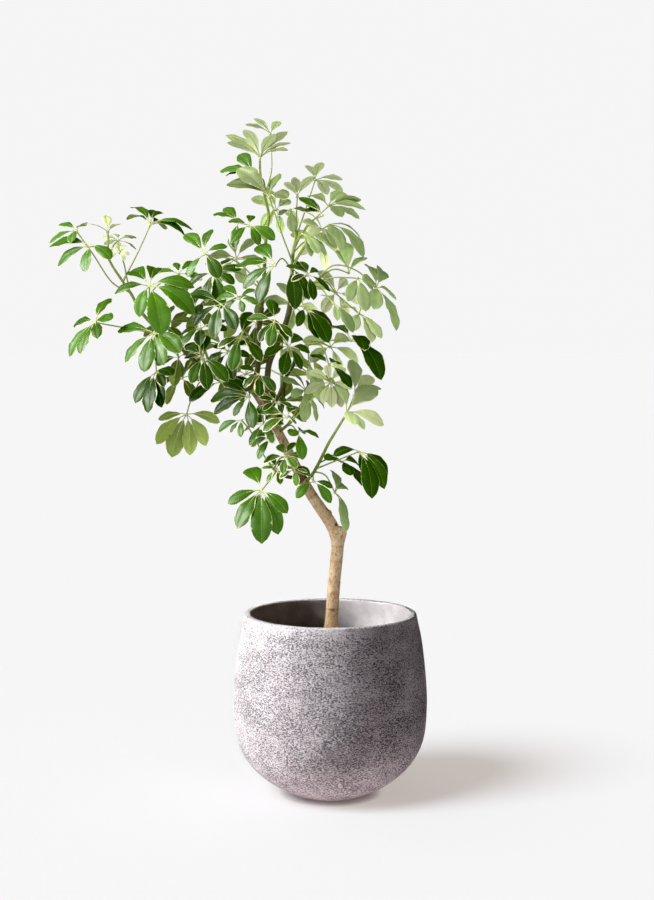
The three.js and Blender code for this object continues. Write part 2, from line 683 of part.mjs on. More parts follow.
// The planter: a wall of one thickness from the foot to a rounded lip.
function makePot() {
  const outline = potOutline();
  const inside = potInside(POT_WALL, POT_HEIGHT - 2 * LIP_ROUNDING);
  const floor = inside[0].y;
  const profile = [
    new THREE.Vector2(0, 0),
    ...outline,
    new THREE.Vector2(LIP_RADIUS, POT_HEIGHT - LIP_ROUNDING),
    new THREE.Vector2(LIP_RADIUS - LIP_ROUNDING, POT_HEIGHT),
    new THREE.Vector2(LIP_RADIUS - POT_WALL + LIP_ROUNDING, POT_HEIGHT),
    new THREE.Vector2(LIP_RADIUS - POT_WALL, POT_HEIGHT - LIP_ROUNDING),
    ...inside.reverse(),
    new THREE.Vector2(0, floor),
  ];
  return solidFrom(turned(profile, POT_SIDES));
}

// A profile turned round the upright axis; the lathe turns round Y, so the result is tipped upright.
function turned(profile, sides) {
  const lathe = new THREE.LatheGeometry(profile, sides);
  lathe.rotateX(Math.PI / 2);
  return lathe;
}

// Soil that fills the planter's inside up to its surface, with room for the trunk.
function makeSoil(woodWithGap) {
  const inside = potInside(POT_WALL + GAP, SOIL_EDGE);
  const wall = potInside(POT_WALL + GAP, POT_HEIGHT).find((p) => p.y >= SOIL_EDGE);
  const low = inside[inside.length - 1];
  const share = (SOIL_EDGE - low.y) / (wall.y - low.y);
  const profile = [
    new THREE.Vector2(0, inside[0].y),
    ...inside,
    new THREE.Vector2(THREE.MathUtils.lerp(low.x, wall.x, share) - GAP, SOIL_EDGE),
    new THREE.Vector2(LIP_RADIUS / 2, (SOIL_EDGE + SOIL_CENTRE) / 2 + SOIL_BULGE),
    new THREE.Vector2(0, SOIL_CENTRE),
  ];
  return solidFrom(turned(profile, POT_SIDES)).subtract(woodWithGap);
}

// The woody trunk with its limbs, stub and scar, grown all round by the given gap.
function makeWood(grow) {
  const tube = (rows, sides, steps) => solidFrom(bentTube(stationsOf(rows), sides, steps, grow));
  return wasm.Manifold.union([
    tube(TRUNK, TRUNK_SIDES, TRUNK_STEPS),
    ...LIMBS.map((limb) => tube(limb, LIMB_SIDES, limb.length + 1)),
    tube(KNEE_STUB, TRUNK_SIDES, LUMP_STEPS),
    tube(SCAR_BUMP, SCAR_SIDES, LUMP_STEPS),
  ]);
}

// Closed rings of points joined into one skin of triangles.
class Skin {
  points = [];

  faces = [];

  add(...points) {
    return points.map((p) => this.points.push(p.x, p.y, p.z) - 3).map((start) => start / 3);
  }

  band(near, far) {
    const count = near.length;
    for (let i = 0; i < count; i += 1) {
      const j = (i + 1) % count;
      this.faces.push(near[j], near[i], far[j], far[j], near[i], far[i]);
    }
  }

  fan(ring, apex) {
    ring.forEach((point, i) => this.faces.push(ring[(i + 1) % ring.length], point, apex));
  }

  solid() {
    return closedSolid(this.points, this.faces);
  }
}

// The rings of a leaflet, each a left edge, a right edge and the rib below them, and its tip.
function leafletRings({ hub, reach, normal, arch, breadth }, grow = 0) {
  const length = reach.length();
  const along = reach.clone().normalize();
  const side = normal.clone().cross(along);
  const bulge = normal.clone().addScaledVector(along, -along.z);
  bulge.z += 1;
  bulge.normalize();
  const widest = LEAFLET_WIDTH * length * breadth / 2;
  const [shares, widths] = LEAFLET_FORMS.find((form) => length < form.below).rows;
  const rings = shares.map((t, k) => {
    const half = Math.max(widths[k] * widest, STALK_HALF_WIDTH) + grow;
    const rib = Math.max(RIB_DEPTH * length * widths[k], STALK_RIB) + 2 * grow;
    const rise = 4 * t * (1 - t);
    const middle = hub.clone().addScaledVector(reach, t);
    middle.addScaledVector(bulge, arch * length * rise).addScaledVector(normal, grow);
    return [
      middle.clone().addScaledVector(side, -half),
      middle.clone().addScaledVector(side, half),
      middle.clone().addScaledVector(normal, -rib),
    ];
  });
  return { rings, tip: hub.clone().add(reach) };
}

// One leaflet as a closed solid of its own, grown all round, to test whether it clears its neighbours.
// It starts at the hub's edge, or only at the end of its stalk.
function leafletSolid(spoke, grow, withStalk) {
  const { rings, tip } = leafletRings(spoke, grow);
  if (withStalk) {
    const inwards = spoke.reach.clone().setLength(spoke.reach.length() * STALK_SHARE - HUB_RADIUS);
    rings.unshift(rings[0].map((p) => p.clone().sub(inwards)));
  }
  const skin = new Skin();
  const indices = rings.map((ring) => skin.add(...ring));
  skin.faces.push(...indices[0]);
  for (let k = 1; k < indices.length; k += 1) {
    skin.band(indices[k - 1], indices[k]);
  }
  skin.fan(indices[indices.length - 1], skin.add(tip)[0]);
  return skin.solid();
}

// A whorl: a flat hub with a side for each spoke, each side drawn out into a leaflet where there is one.
function whorlSolid(spokes) {
  const { hub, axis, first, second } = spokes[0];
  const skin = new Skin();
  const ring = [...spokes].sort((a, b) => a.angle - b.angle);
  const corner = (i, level) => {
    const here = ring[i % ring.length].angle;
    const next = ring[(i + 1) % ring.length].angle + (i + 1 >= ring.length ? 2 * Math.PI : 0);
    const angle = (here + next) / 2;
    return hub.clone().addScaledVector(first, Math.cos(angle) * HUB_RADIUS)
      .addScaledVector(second, Math.sin(angle) * HUB_RADIUS).addScaledVector(axis, level);
  };
  const top = ring.map((spoke, i) => skin.add(corner(i, HUB_DEPTH / 2))[0]);
  const bottom = ring.map((spoke, i) => skin.add(corner(i, -HUB_DEPTH / 2))[0]);
  const [above, below] = skin.add(
    hub.clone().addScaledVector(axis, HUB_DEPTH / 2),
    hub.clone().addScaledVector(axis, -HUB_DEPTH / 2),
  );
  ring.forEach((spoke, i) => {
    const before = (i + ring.length - 1) % ring.length;
    const [tl, tr, bl, br] = [top[before], top[i], bottom[before], bottom[i]];
    skin.faces.push(tl, tr, above, br, bl, below);
    if (!spoke.normal) {
      skin.faces.push(tr, tl, br, br, tl, bl);
      return;
    }
    const { rings, tip } = leafletRings(spoke);
    const indices = rings.map((points) => skin.add(...points));
    const [left, right, rib] = indices[0];
    skin.faces.push(tr, tl, right, right, tl, left, br, tr, right, rib, br, right);
    skin.faces.push(bl, br, rib, left, bl, rib, tl, bl, left);
    for (let k = 1; k < indices.length; k += 1) {
      skin.band(indices[k - 1], indices[k]);
    }
    skin.fan(indices[indices.length - 1], skin.add(tip)[0]);
  });
  return skin.solid();
}

// The spokes of one compound leaf: the noted tips first, then draws for the free places in the ring.
function spokesOf(leaf, number) {
  const hub = seen(...leaf.hub);
  const axis = new THREE.Vector3(...leaf.face).normalize();
  const open = THREE.MathUtils.degToRad(leaf.open ?? DROOP);
  const across = Math.abs(axis.z) > NEARLY_UPRIGHT ? new THREE.Vector3(1, 0, 0) : new THREE.Vector3(0, 0, 1);
  const first = across.cross(axis).normalize();
  const second = axis.clone().cross(first);
  const spokes = [];
  const angles = [];
  leaf.tips.forEach(([u, w], k) => {
    const turn = k % 2 ? 1 : -1;
    let best = Infinity;
    let reach = null;
    for (let step = -DEPTH_STEPS; step <= DEPTH_STEPS; step += 1) {
      const depth = turn * step * leaf.reach / DEPTH_STEPS;
      const tip = seen(u, w, leaf.hub[2] + depth).sub(hub);
      const wrongLength = Math.abs(tip.length() / leaf.reach - 1);
      const cost = Math.abs(tip.angleTo(axis) - open) + LENGTH_COST * wrongLength;
      if (cost < best - ALIKE) {
        best = cost;
        reach = tip;
      }
    }
    angles.push(Math.atan2(reach.dot(second), reach.dot(first)));
    spokes.push(reach);
  });
  const start = angles.length ? angles[0] : draw(number, DRAW.start) * 2 * Math.PI;
  const spacing = 2 * Math.PI / leaf.count;
  for (let k = 0; k < leaf.count; k += 1) {
    const angle = start + k * spacing + (draw(number, k) - 0.5) * STRAY * spacing;
    const apart = angles.map((a) => Math.abs(Math.atan2(Math.sin(a - angle), Math.cos(a - angle))));
    if (apart.every((turn) => turn > TAKEN * spacing)) {
      const length = leaf.reach * (LENGTH_LEAST + LENGTH_RANGE * draw(number, k + DRAW.length));
      const reach = axis.clone().multiplyScalar(Math.cos(open));
      reach.addScaledVector(first, Math.cos(angle) * Math.sin(open));
      reach.addScaledVector(second, Math.sin(angle) * Math.sin(open));
      spokes.push(reach.multiplyScalar(length));
    }
  }
  return spokes.map((reach, k) => ({
    hub,
    axis,
    first,
    second,
    reach,
    angle: Math.atan2(reach.dot(second), reach.dot(first)),
    roll: (draw(number, k + DRAW.roll) - 0.5) * ROLL,
    arch: leaf.arch ?? LEAFLET_ARCH,
    breadth: BREADTH_LEAST + BREADTH_RANGE * draw(number, k + DRAW.breadth),
  }));
}

// A spoke with one of the bends, and the way its upper side faces.
function bent(spoke, [swing, lift]) {
  const reach = spoke.reach.clone().applyAxisAngle(spoke.axis, THREE.MathUtils.degToRad(swing));
  const hinge = reach.clone().cross(spoke.axis).normalize();
  reach.applyAxisAngle(hinge, THREE.MathUtils.degToRad(lift));
  const along = reach.clone().normalize();
  const normal = spoke.axis.clone().addScaledVector(along, -spoke.axis.dot(along)).normalize();
  normal.applyAxisAngle(along, spoke.roll);
  return { ...spoke, reach, normal };
}

// The place on a stem that appears nearest to a noted point.
function nearestOnStem(stem, [u, w]) {
  const curve = curveThrough(stem.map((station) => new THREE.Vector3(...station.slice(0, 3))));
  let best = Infinity;
  let found = null;
  for (const p of curve.getPoints(CURVE_SAMPLES)) {
    const distance = Math.hypot(p.x - u, p.y - w);
    if (distance < best) {
      best = distance;
      found = p;
    }
  }
  return seen(found.x, found.y, found.z);
}

// A petiole from the stem to the hub; one with no points on its way rises a little in its middle.
function petioleStations(stem, leaf) {
  const start = nearestOnStem(stem, leaf.from);
  const hub = seen(...leaf.hub);
  const way = leaf.via.map((p) => seen(...p));
  if (!way.length) {
    const middle = start.clone().lerp(hub, 0.5);
    middle.z += PETIOLE_RISE * start.distanceTo(hub);
    way.push(middle);
  }
  const points = [start, ...way, hub];
  return points.map((position) => ({ position, radius: PETIOLE_RADIUS }));
}

function boxesMeet(a, b) {
  for (let k = 0; k < 3; k += 1) {
    if (a.min[k] > b.max[k] || b.min[k] > a.max[k]) {
      return false;
    }
  }
  return true;
}

const placed = [];

// A solid that later leaflets stay clear of, except those of the leaf it belongs to.
function keep(solid, leaf) {
  placed.push({ solid, box: solid.boundingBox(), leaf });
}

// Whether a grown solid meets anything already placed that belongs to another leaf.
function meets(solid, leaf) {
  const box = solid.boundingBox();
  return placed.some((other) => other.leaf !== leaf && boxesMeet(box, other.box)
    && !solid.intersect(other.solid).isEmpty());
}

// Every stem, petiole and hub is made first. Then the leaves open from the nearest to the farthest, and
// each leaflet takes the first bend that keeps it clear of what is there, or is left out.
function makeShoots(wood, woodWithGap) {
  keep(wood, null);
  const parts = new Map();
  const leaves = [];
  for (const shoot of SHOOTS) {
    const stem = solidFrom(bentTube(stationsOf(shoot.stem), STEM_SIDES, shoot.stem.length));
    parts.set(shoot, [stem]);
    keep(stem, null);
  }
  let number = 0;
  for (const shoot of SHOOTS) {
    for (const leaf of shoot.leaves) {
      number += 1;
      const stations = petioleStations(shoot.stem, leaf);
      const petiole = solidFrom(bentTube(stations, PETIOLE_SIDES, PETIOLE_STEPS + leaf.via.length));
      const ball = new THREE.OctahedronGeometry(HUB_REACH);
      ball.translate(...seen(...leaf.hub).toArray());
      parts.get(shoot).push(petiole);
      keep(petiole, leaf);
      keep(solidFrom(ball), leaf);
      leaves.push({ shoot, leaf, number });
    }
  }
  leaves.sort((a, b) => a.leaf.hub[2] - b.leaf.hub[2]);
  for (const { shoot, leaf, number: seed } of leaves) {
    const siblings = [];
    const spokes = spokesOf(leaf, seed).map((spoke) => {
      const choice = BENDS.find((bend) => {
        const trial = bent(spoke, bend);
        const blade = leafletSolid(trial, CLEARANCE, false);
        return siblings.every((other) => blade.intersect(other).isEmpty())
          && !meets(leafletSolid(trial, CLEARANCE, true), leaf);
      });
      if (!choice) {
        return spoke;
      }
      const open = bent(spoke, choice);
      siblings.push(leafletSolid(open, 0, false));
      keep(leafletSolid(open, 0, true), leaf);
      return open;
    });
    parts.get(shoot).push(whorlSolid(spokes));
  }
  return SHOOTS.map((shoot) => ({
    name: shoot.name,
    colour: shoot.colour,
    solid: wasm.Manifold.union(parts.get(shoot)).subtract(woodWithGap),
  }));
}

const plant = new THREE.Group();

const STONE = { colour: 0x9c9298, roughness: 0.9 };
const EARTH = { colour: 0x3b2e25, roughness: 1 };
const BARK = { colour: 0xb08f68, roughness: 0.8 };
const LEAF_ROUGHNESS = 0.45;

function addNode(name, solid, { colour, roughness }) {
  const material = new THREE.MeshStandardMaterial({ color: colour, roughness, metalness: 0 });
  const mesh = new THREE.Mesh(geometryFrom(solid), material);
  mesh.name = name;
  plant.add(mesh);
}

const wood = makeWood(0);
const woodWithGap = makeWood(GAP);
addNode('pot', makePot(), STONE);
addNode('soil', makeSoil(woodWithGap), EARTH);
addNode('trunk', wood, BARK);
for (const { name, solid, colour } of makeShoots(wood, woodWithGap)) {
  addNode(name, solid, { colour, roughness: LEAF_ROUGHNESS });
}

export default plant;
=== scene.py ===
"""Potted umbrella plant: a speckled stone planter, its soil, a woody trunk and its leafy shoots.

Lengths in the tables are millimetres and become metres where a mesh is made. Plant points are noted as
(u, w, depth): where they appear to the viewer on the upright plane through the planter's axis, and how
far behind that plane they lie. The leaf table and its rules are those of the frame's own shoots, so each
fine leaflet lies where the frame has its plain one.
"""
import math
from typing import NamedTuple

import bmesh
import bpy
import numpy as np
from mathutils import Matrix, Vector, kdtree, noise


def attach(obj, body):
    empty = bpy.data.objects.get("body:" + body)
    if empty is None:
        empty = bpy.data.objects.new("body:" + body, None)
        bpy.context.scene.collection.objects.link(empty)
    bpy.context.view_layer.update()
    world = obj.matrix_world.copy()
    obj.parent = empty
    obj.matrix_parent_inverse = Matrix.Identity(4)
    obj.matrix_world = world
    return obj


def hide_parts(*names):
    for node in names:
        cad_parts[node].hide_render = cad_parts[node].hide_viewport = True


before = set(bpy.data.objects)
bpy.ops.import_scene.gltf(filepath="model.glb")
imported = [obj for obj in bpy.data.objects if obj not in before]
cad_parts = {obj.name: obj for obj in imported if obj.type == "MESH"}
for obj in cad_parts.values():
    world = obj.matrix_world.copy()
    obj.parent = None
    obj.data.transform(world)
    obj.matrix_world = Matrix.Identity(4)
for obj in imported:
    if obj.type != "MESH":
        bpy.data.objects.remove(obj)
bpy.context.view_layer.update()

MM = 0.001

# The viewer's eye, and the lens that gives the photograph's view.
EYE_X = -6
EYE_DISTANCE = 3000
EYE_HEIGHT = 870
EYE_PITCH = 4.8
LENS = 68
SENSOR = 36

# Lights: strength, softness, way from the left towards the front and height in degrees, and colour.
POT_SUN = (10.8, 30, 13, 30, 0xF7FFFF)
PLANT_SUN = (6.8, 36, 14, 32, 0xFFFFFA)
PLANT_FILL = (3.1, 130, 105, 5, 0xFFFFFF)
POT_BOUNCE = (4.3, 70, 20, -74, 0xFFF0F0)
FLOOR_SUN = (3.88, 30, 33, 43, 0xE9F5FF)
FLOOR_SKY = (1.2, 150, 20, 60, 0xFFFCF8)
ROOM_LIGHT = 0.036
ROOM_COLOUR = 0xFFEFEF
ROOM_SHOWN = 0.915
# The darkest light that still shows, as a print's black.
BLACK_LEVEL = 0.011
# The floor's paint and its even glow, how far the painted contact shade under the pot reaches in
# metres (the glow dims there), and the part of the glow that lights other things.
FLOOR_HALF = 30000
FLOOR_COLOUR = 0xBBBBBB
FLOOR_GLOW = 0.4
FLOOR_GLOW_COLOUR = 0xFFF4ED
FLOOR_CONTACT_SHADE = 0.014
FLOOR_BOUNCE = 0.3

# Planter: half outline from the foot up to the lip, as radius and height.
POT_OUTLINE = [
    (56, 0), (68, 4), (86, 12), (109, 25), (134, 45), (154, 70), (167, 100), (172, 135),
    (173, 175), (170, 225), (163, 280), (155, 319),
]
POT_HEIGHT = 327
POT_WALL = 12
LIP_RADIUS = 154
LIP_ROUNDING = 3
LIP_STEPS = 5
FOOT_BEVEL = 14
POT_SIDES = 192
POT_ROWS = 76
POT_INSIDE_FLOOR = 40
# How far the cast wall is uneven, and how far it stays inside the outline for that.
POT_UNEVEN = 0.55
POT_INSET = 0.3

SOIL_EDGE = 258
SOIL_CENTRE = 264
SOIL_DEPTH = 40
SOIL_RADIUS = 144
SOIL_BEVEL = 8
SOIL_SIDES = 96
SOIL_ROWS = 44
SOIL_BITS = 620
# Where the trunk stands in the soil, and the room round it without bits.
TRUNK_X = -14
TRUNK_ROOM = 17

# Leaflets, by the rules of the frame's leaflets: width and arch as parts of the length, opening of the
# whole leaf from its axis in degrees, the part of a ring's spacing that a noted leaflet takes, the roll
# in radians, the petiole's rise as part of its length, and how depth is tried for a noted tip.
LEAFLET_WIDTH = 0.38
LEAFLET_ARCH = 0.13
DROOP = 98
YOUNG_OPENING = 64
TAKEN = 0.7
ROLL = 0.45
PETIOLE_RISE = 0.14
DEPTH_STEPS = 6
REACH_WEIGHT = 0.9
# The bends that the frame may have given a leaflet, as swing and lift in degrees, and how near to a
# point of the frame a tip has to end.
BENDS = [
    (0, 0), (0, 8), (0, -8), (0, 15), (0, -15), (7, 0), (-7, 0), (13, 8), (-13, 8), (13, -8),
    (-13, -8), (0, 26), (0, -26), (22, 0), (-22, 0), (28, 14), (-28, 14),
]
FOUND = 0.05

# The finer leaflet: its grid, its thickness, where the blade starts and its rib ends as parts of the
# length, and the groove over the rib as part of the half width.
BLADE_ROWS = 12
BLADE_COLUMNS = 8
BLADE_START = 0.15
BLADE_THICKNESS = 0.6
RIB_END = 0.86
GROOVE = 0.09
STALK_RADIUS = 0.95
# A petiole's radius along its way from the stem to the hub, and the hub's radii.
PETIOLE_STEPS = 22
PETIOLE_PLACES = (0, 0.08, 0.2, 0.92, 1)
PETIOLE_RADII = (2.1, 1.8, 1.35, 1.2, 1.6)
HUB_RADII = (3, 3, 2.6)
# Places of the materials on a shoot's mesh.
LEAF_TOP, LEAF_UNDER, STEM = range(3)

# Ways a whole compound leaf can face.
UP = (0, -0.1, 1)
UP_LEFT = (-0.35, -0.4, 0.85)
UP_RIGHT = (0.35, -0.4, 0.85)
UP_TILTED = (0.05, 0.32, 0.95)
UP_BACK = (0.1, 0.42, 0.9)
FRONT = (0, -0.7, 0.72)
FRONT_LEFT = (-0.34, -0.62, 0.7)
FRONT_RIGHT = (0.34, -0.62, 0.7)
RIGHT = (0.7, -0.36, 0.7)
AWAY = (0, 0.9, 0.45)
BACK_LEFT = (-0.5, 0.75, 0.6)
BACK_RIGHT = (0.5, 0.75, 0.6)

# How a leaf looks: its tone from dark and glossy (0) to young and cream (1), and how wide its cream
# margin is.
DARK = (0.02, 0.3)
EDGED = (0.04, 0.62)
GREEN = (0.15, 0.3)
CREAMY = (0.2, 0.85)
MOSS = (0.45, 0.35)
# Sage and pale leaves are partly their own paler colour and partly painted light: their tones are set
# lighter to stand in for light shining through the leaves.
SAGE = (0.72, 0.35)
PALE = (0.9, 0.45)
YOUNG = (1.0, 0.9)

# Woody tubes: u, w, depth and radius of each point along them.
TRUNK = [
    (-14, 150, 0, 12.5), (-14, 205, 0, 12.5), (-14, 258, 0, 12.4), (-6, 284, 0, 12), (1, 305, 0, 11.5),
    (4, 345, 0, 11.3), (8, 395, 0, 11.2), (12, 436, 0, 11.3), (12, 460, 0, 12), (2, 485, 0, 11),
    (-14, 509, 0, 10.3), (-36, 542, 0, 9.9), (-57, 580, 0, 9.2), (-76, 619, 0, 8.4), (-93, 652, 0, 8),
    (-107, 679, 0, 7.8), (-117, 697, 0, 7.6), (-124, 709, 0, 7.2),
]
LIMBS = [
    [(-107, 679, 0, 7.2), (-124, 708, 4, 6.6), (-136, 724, 12, 5.8), (-133, 745, 20, 5.4),
     (-128, 765, 24, 5.2), (-127, 820, 26, 5), (-121, 870, 24, 5)],
    [(-136, 724, 12, 5.5), (-165, 733, 30, 5), (-197, 744, 40, 4.8), (-232, 768, 46, 4.4),
     (-262, 798, 46, 4)],
    [(-107, 679, 0, 7.2), (-112, 716, -8, 6), (-109, 766, -18, 5.4), (-98, 796, -24, 5.2),
     (-76, 850, -28, 5), (-68, 900, -25, 4.8), (-68, 925, -22, 4.8)],
    [(-98, 662, 0, 4.2), (-86, 690, 14, 3.8), (-80, 742, 34, 3.6), (-64, 772, 40, 3.6),
     (-62, 800, 42, 3.6)],
    [(-50, 567, 0, 4), (-66, 569, -14, 3.6), (-82, 572, -24, 3.4), (-94, 579, -30, 3.2)],
    [(-76, 619, 0, 5), (-94, 655, 32, 4.6), (-104, 690, 62, 4.4), (-90, 716, 86, 4.3),
     (-82, 738, 99, 4.2)],
]
KNEE_STUB = [(13, 452, 0, 11.6), (18, 470, 0, 11.2), (19.5, 481, 0, 9.2)]
SCAR_BUMP = [(-10, 501, 0, 6.5), (-4, 505, -1, 5.5), (1, 509, -2, 3.8)]
# Ring scars on the trunk, as height and strength, and the dark cut beside the knee.
TRUNK_RINGS = [
    (274, 0.6), (298, 0.4), (333, 1), (356, 0.3), (384, 0.35), (418, 1), (447, 0.4), (536, 0.4),
    (562, 0.5), (590, 0.4), (622, 0.6), (655, 0.5), (680, 0.5),
]
KNEE_CUT = (10, 485, -6)
BARK_VOXEL = 1.2
BARK_SMOOTHING = 6


class Leaf(NamedTuple):
    """One compound leaf: its look, where its petiole leaves the stem, its hub, the way it faces, its
    reach from hub to tip, the leaflets in a full ring, the tips noted one by one, the petiole's way,
    how far it opens and how far its leaflets arch."""
    look: tuple
    root: tuple
    hub: tuple
    face: tuple
    reach: float
    ring: int
    tips: list
    via: list = []
    opening: float = DROOP
    arch: float = LEAFLET_ARCH


SHOOTS = []


def shoot(name, slot, stem, leaves):
    """Notes one leafy stem, which takes the place of the frame's node of that name."""
    SHOOTS.append((name, slot, stem, leaves))


shoot("shoot_far_left", "leaf_dark", [
    (-250, 786, 46, 3.2), (-278, 812, 45, 3.1), (-300, 826, 42, 3), (-333, 862, 36, 2.7),
    (-350, 893, 32, 2.5), (-368, 920, 28, 2.3), (-383, 943, 26, 2.1), (-390, 962, 26, 1.9),
    (-389, 990, 24, 1.7)
], [
    Leaf(GREEN, (-352, 895), (-445, 1003, -5), UP_LEFT, 48, 0,
         [(-475, 1015), (-493, 982), (-455, 982), (-428, 1012)], via=[(-384, 914, 8), (-416, 962, 0)]),
    Leaf(GREEN, (-383, 943), (-420, 977, -45), FRONT_LEFT, 68, 0,
         [(-493, 976), (-479, 942), (-429, 931), (-384, 954)]),
    Leaf(YOUNG, (-389, 990), (-390, 1001, 22), UP, 46, 5,
         [(-432, 1015), (-393, 1030), (-365, 1015)], opening=YOUNG_OPENING),
    Leaf(PALE, (-388, 955), (-372, 986, 60), UP_RIGHT, 42, 6, [(-340, 992), (-340, 970)]),
    Leaf(YOUNG, (-352, 900), (-370, 966, -20), FRONT, 26, 5, [(-352, 962), (-361, 951)]),
    Leaf(GREEN, (-365, 916), (-316, 1013, 5), UP_RIGHT, 66, 0,
         [(-349, 1043), (-356, 1022), (-301, 1034), (-241, 1005), (-254, 994), (-292, 1006)],
         via=[(-338, 965, 14)], arch=0.2),
    Leaf(GREEN, (-312, 838), (-318, 906, -85), FRONT, 84, 0,
         [(-380, 893), (-355, 930), (-336, 852), (-297, 820), (-240, 856), (-238, 896), (-305, 938)],
         via=[(-318, 880, -40)], arch=0.18),
    Leaf(GREEN, (-300, 826), (-310, 824, -72), FRONT_LEFT, 72, 0,
         [(-375, 828), (-362, 773), (-328, 755), (-293, 768), (-260, 782)], via=[(-306, 832, -10)]),
    Leaf(GREEN, (-296, 823), (-413, 843, -10), FRONT_LEFT, 66, 0,
         [(-388, 886), (-452, 838), (-460, 782), (-436, 780), (-410, 814), (-384, 848)],
         via=[(-368, 835, 20)]),
    Leaf(EDGED, (-296, 823), (-307, 756, 0), FRONT_LEFT, 72, 0,
         [(-345, 700), (-322, 683), (-302, 698), (-290, 725), (-277, 750)], via=[(-308, 792, 20)]),
    Leaf(CREAMY, (-333, 862), (-266, 928, 64), FRONT, 46, 6,
         [(-308, 930), (-290, 900), (-238, 950)], via=[(-306, 906, 50)]),
    Leaf(DARK, (-282, 815), (-268, 782, 90), AWAY, 55, 6, [(-277, 730), (-266, 742)]),
    Leaf(DARK, (-305, 830), (-292, 838, 120), BACK_LEFT, 58, 6, [(-262, 805)]),
])
shoot("spray_left_inner", "leaf_dark", [
    (-207, 750, 42, 3), (-212, 766, 22, 2.8), (-219, 788, 0, 2.4), (-226, 812, -18, 2)
], [
    Leaf(EDGED, (-216, 778), (-225, 781, -95), FRONT, 60, 0,
         [(-258, 781), (-246, 735), (-217, 724), (-181, 738), (-222, 822), (-256, 804)]),
    Leaf(EDGED, (-212, 766), (-192, 738, 4), FRONT, 62, 5, [(-248, 697), (-172, 712)]),
    Leaf(DARK, (-226, 812), (-228, 833, -45), UP_LEFT, 58, 7, [(-262, 803), (-232, 875)]),
    Leaf(GREEN, (-212, 766), (-254, 681, -22), AWAY, 86, 0,
         [(-305, 672), (-308, 628), (-282, 598), (-249, 608), (-220, 625), (-195, 667)],
         via=[(-236, 730, -6), (-248, 702, -14)]),
])
shoot("leader_left", "leaf_pale", [
    (-122, 856, 25, 3.4), (-117, 915, 20, 3.4), (-115, 960, 15, 3.2), (-112, 1000, 10, 2.8),
    (-108, 1030, 8, 2.5), (-115, 1065, 8, 2.2), (-122, 1100, 6, 2), (-123, 1124, 4, 1.8)
], [
    Leaf(PALE, (-123, 1122), (-123, 1129, 2), UP_TILTED, 64, 0,
         [(-183, 1169), (-181, 1156), (-151, 1179), (-69, 1155), (-69, 1169), (-97, 1172), (-74, 1142)],
         opening=58),
    Leaf(PALE, (-115, 1065), (-105, 1171, 52), UP_TILTED, 42, 0,
         [(-88, 1193), (-133, 1198), (-149, 1187)], via=[(-103, 1110, 34)], opening=70),
    Leaf(GREEN, (-119, 1085), (-133, 1101, -30), UP_LEFT, 66, 0,
         [(-195, 1116), (-185, 1107), (-160, 1136), (-116, 1124)], opening=74),
    Leaf(GREEN, (-113, 985), (-161, 1018, 10), UP_LEFT, 52, 0, [(-206, 1032), (-187, 1043), (-168, 972)]),
    Leaf(GREEN, (-115, 955), (-143, 1012, -50), FRONT, 50, 5, [(-126, 978), (-97, 987), (-138, 1030)]),
    Leaf(GREEN, (-118, 905), (-221, 962, -40), FRONT_LEFT, 60, 0,
         [(-251, 922), (-195, 920), (-255, 998), (-209, 1006), (-180, 976)], via=[(-165, 950, 0)]),
    Leaf(EDGED, (-118, 900), (-204, 930, 30), FRONT_LEFT, 58, 7,
         [(-218, 878), (-196, 872), (-250, 905)], via=[(-160, 930, 24)]),
    Leaf(CREAMY, (-119, 890), (-160, 885, -50), FRONT_LEFT, 42, 6, [(-200, 885), (-187, 907)]),
    Leaf(DARK, (-121, 872), (-192, 875, -95), FRONT_LEFT, 60, 0,
         [(-203, 815), (-165, 830), (-241, 836), (-253, 890)], via=[(-150, 890, 0)]),
    Leaf(SAGE, (-116, 930), (-165, 955, 110), BACK_LEFT, 66, 6, [], via=[(-135, 950, 60)]),
    Leaf(SAGE, (-112, 1010), (-95, 1040, 75), BACK_RIGHT, 56, 6, []),
])
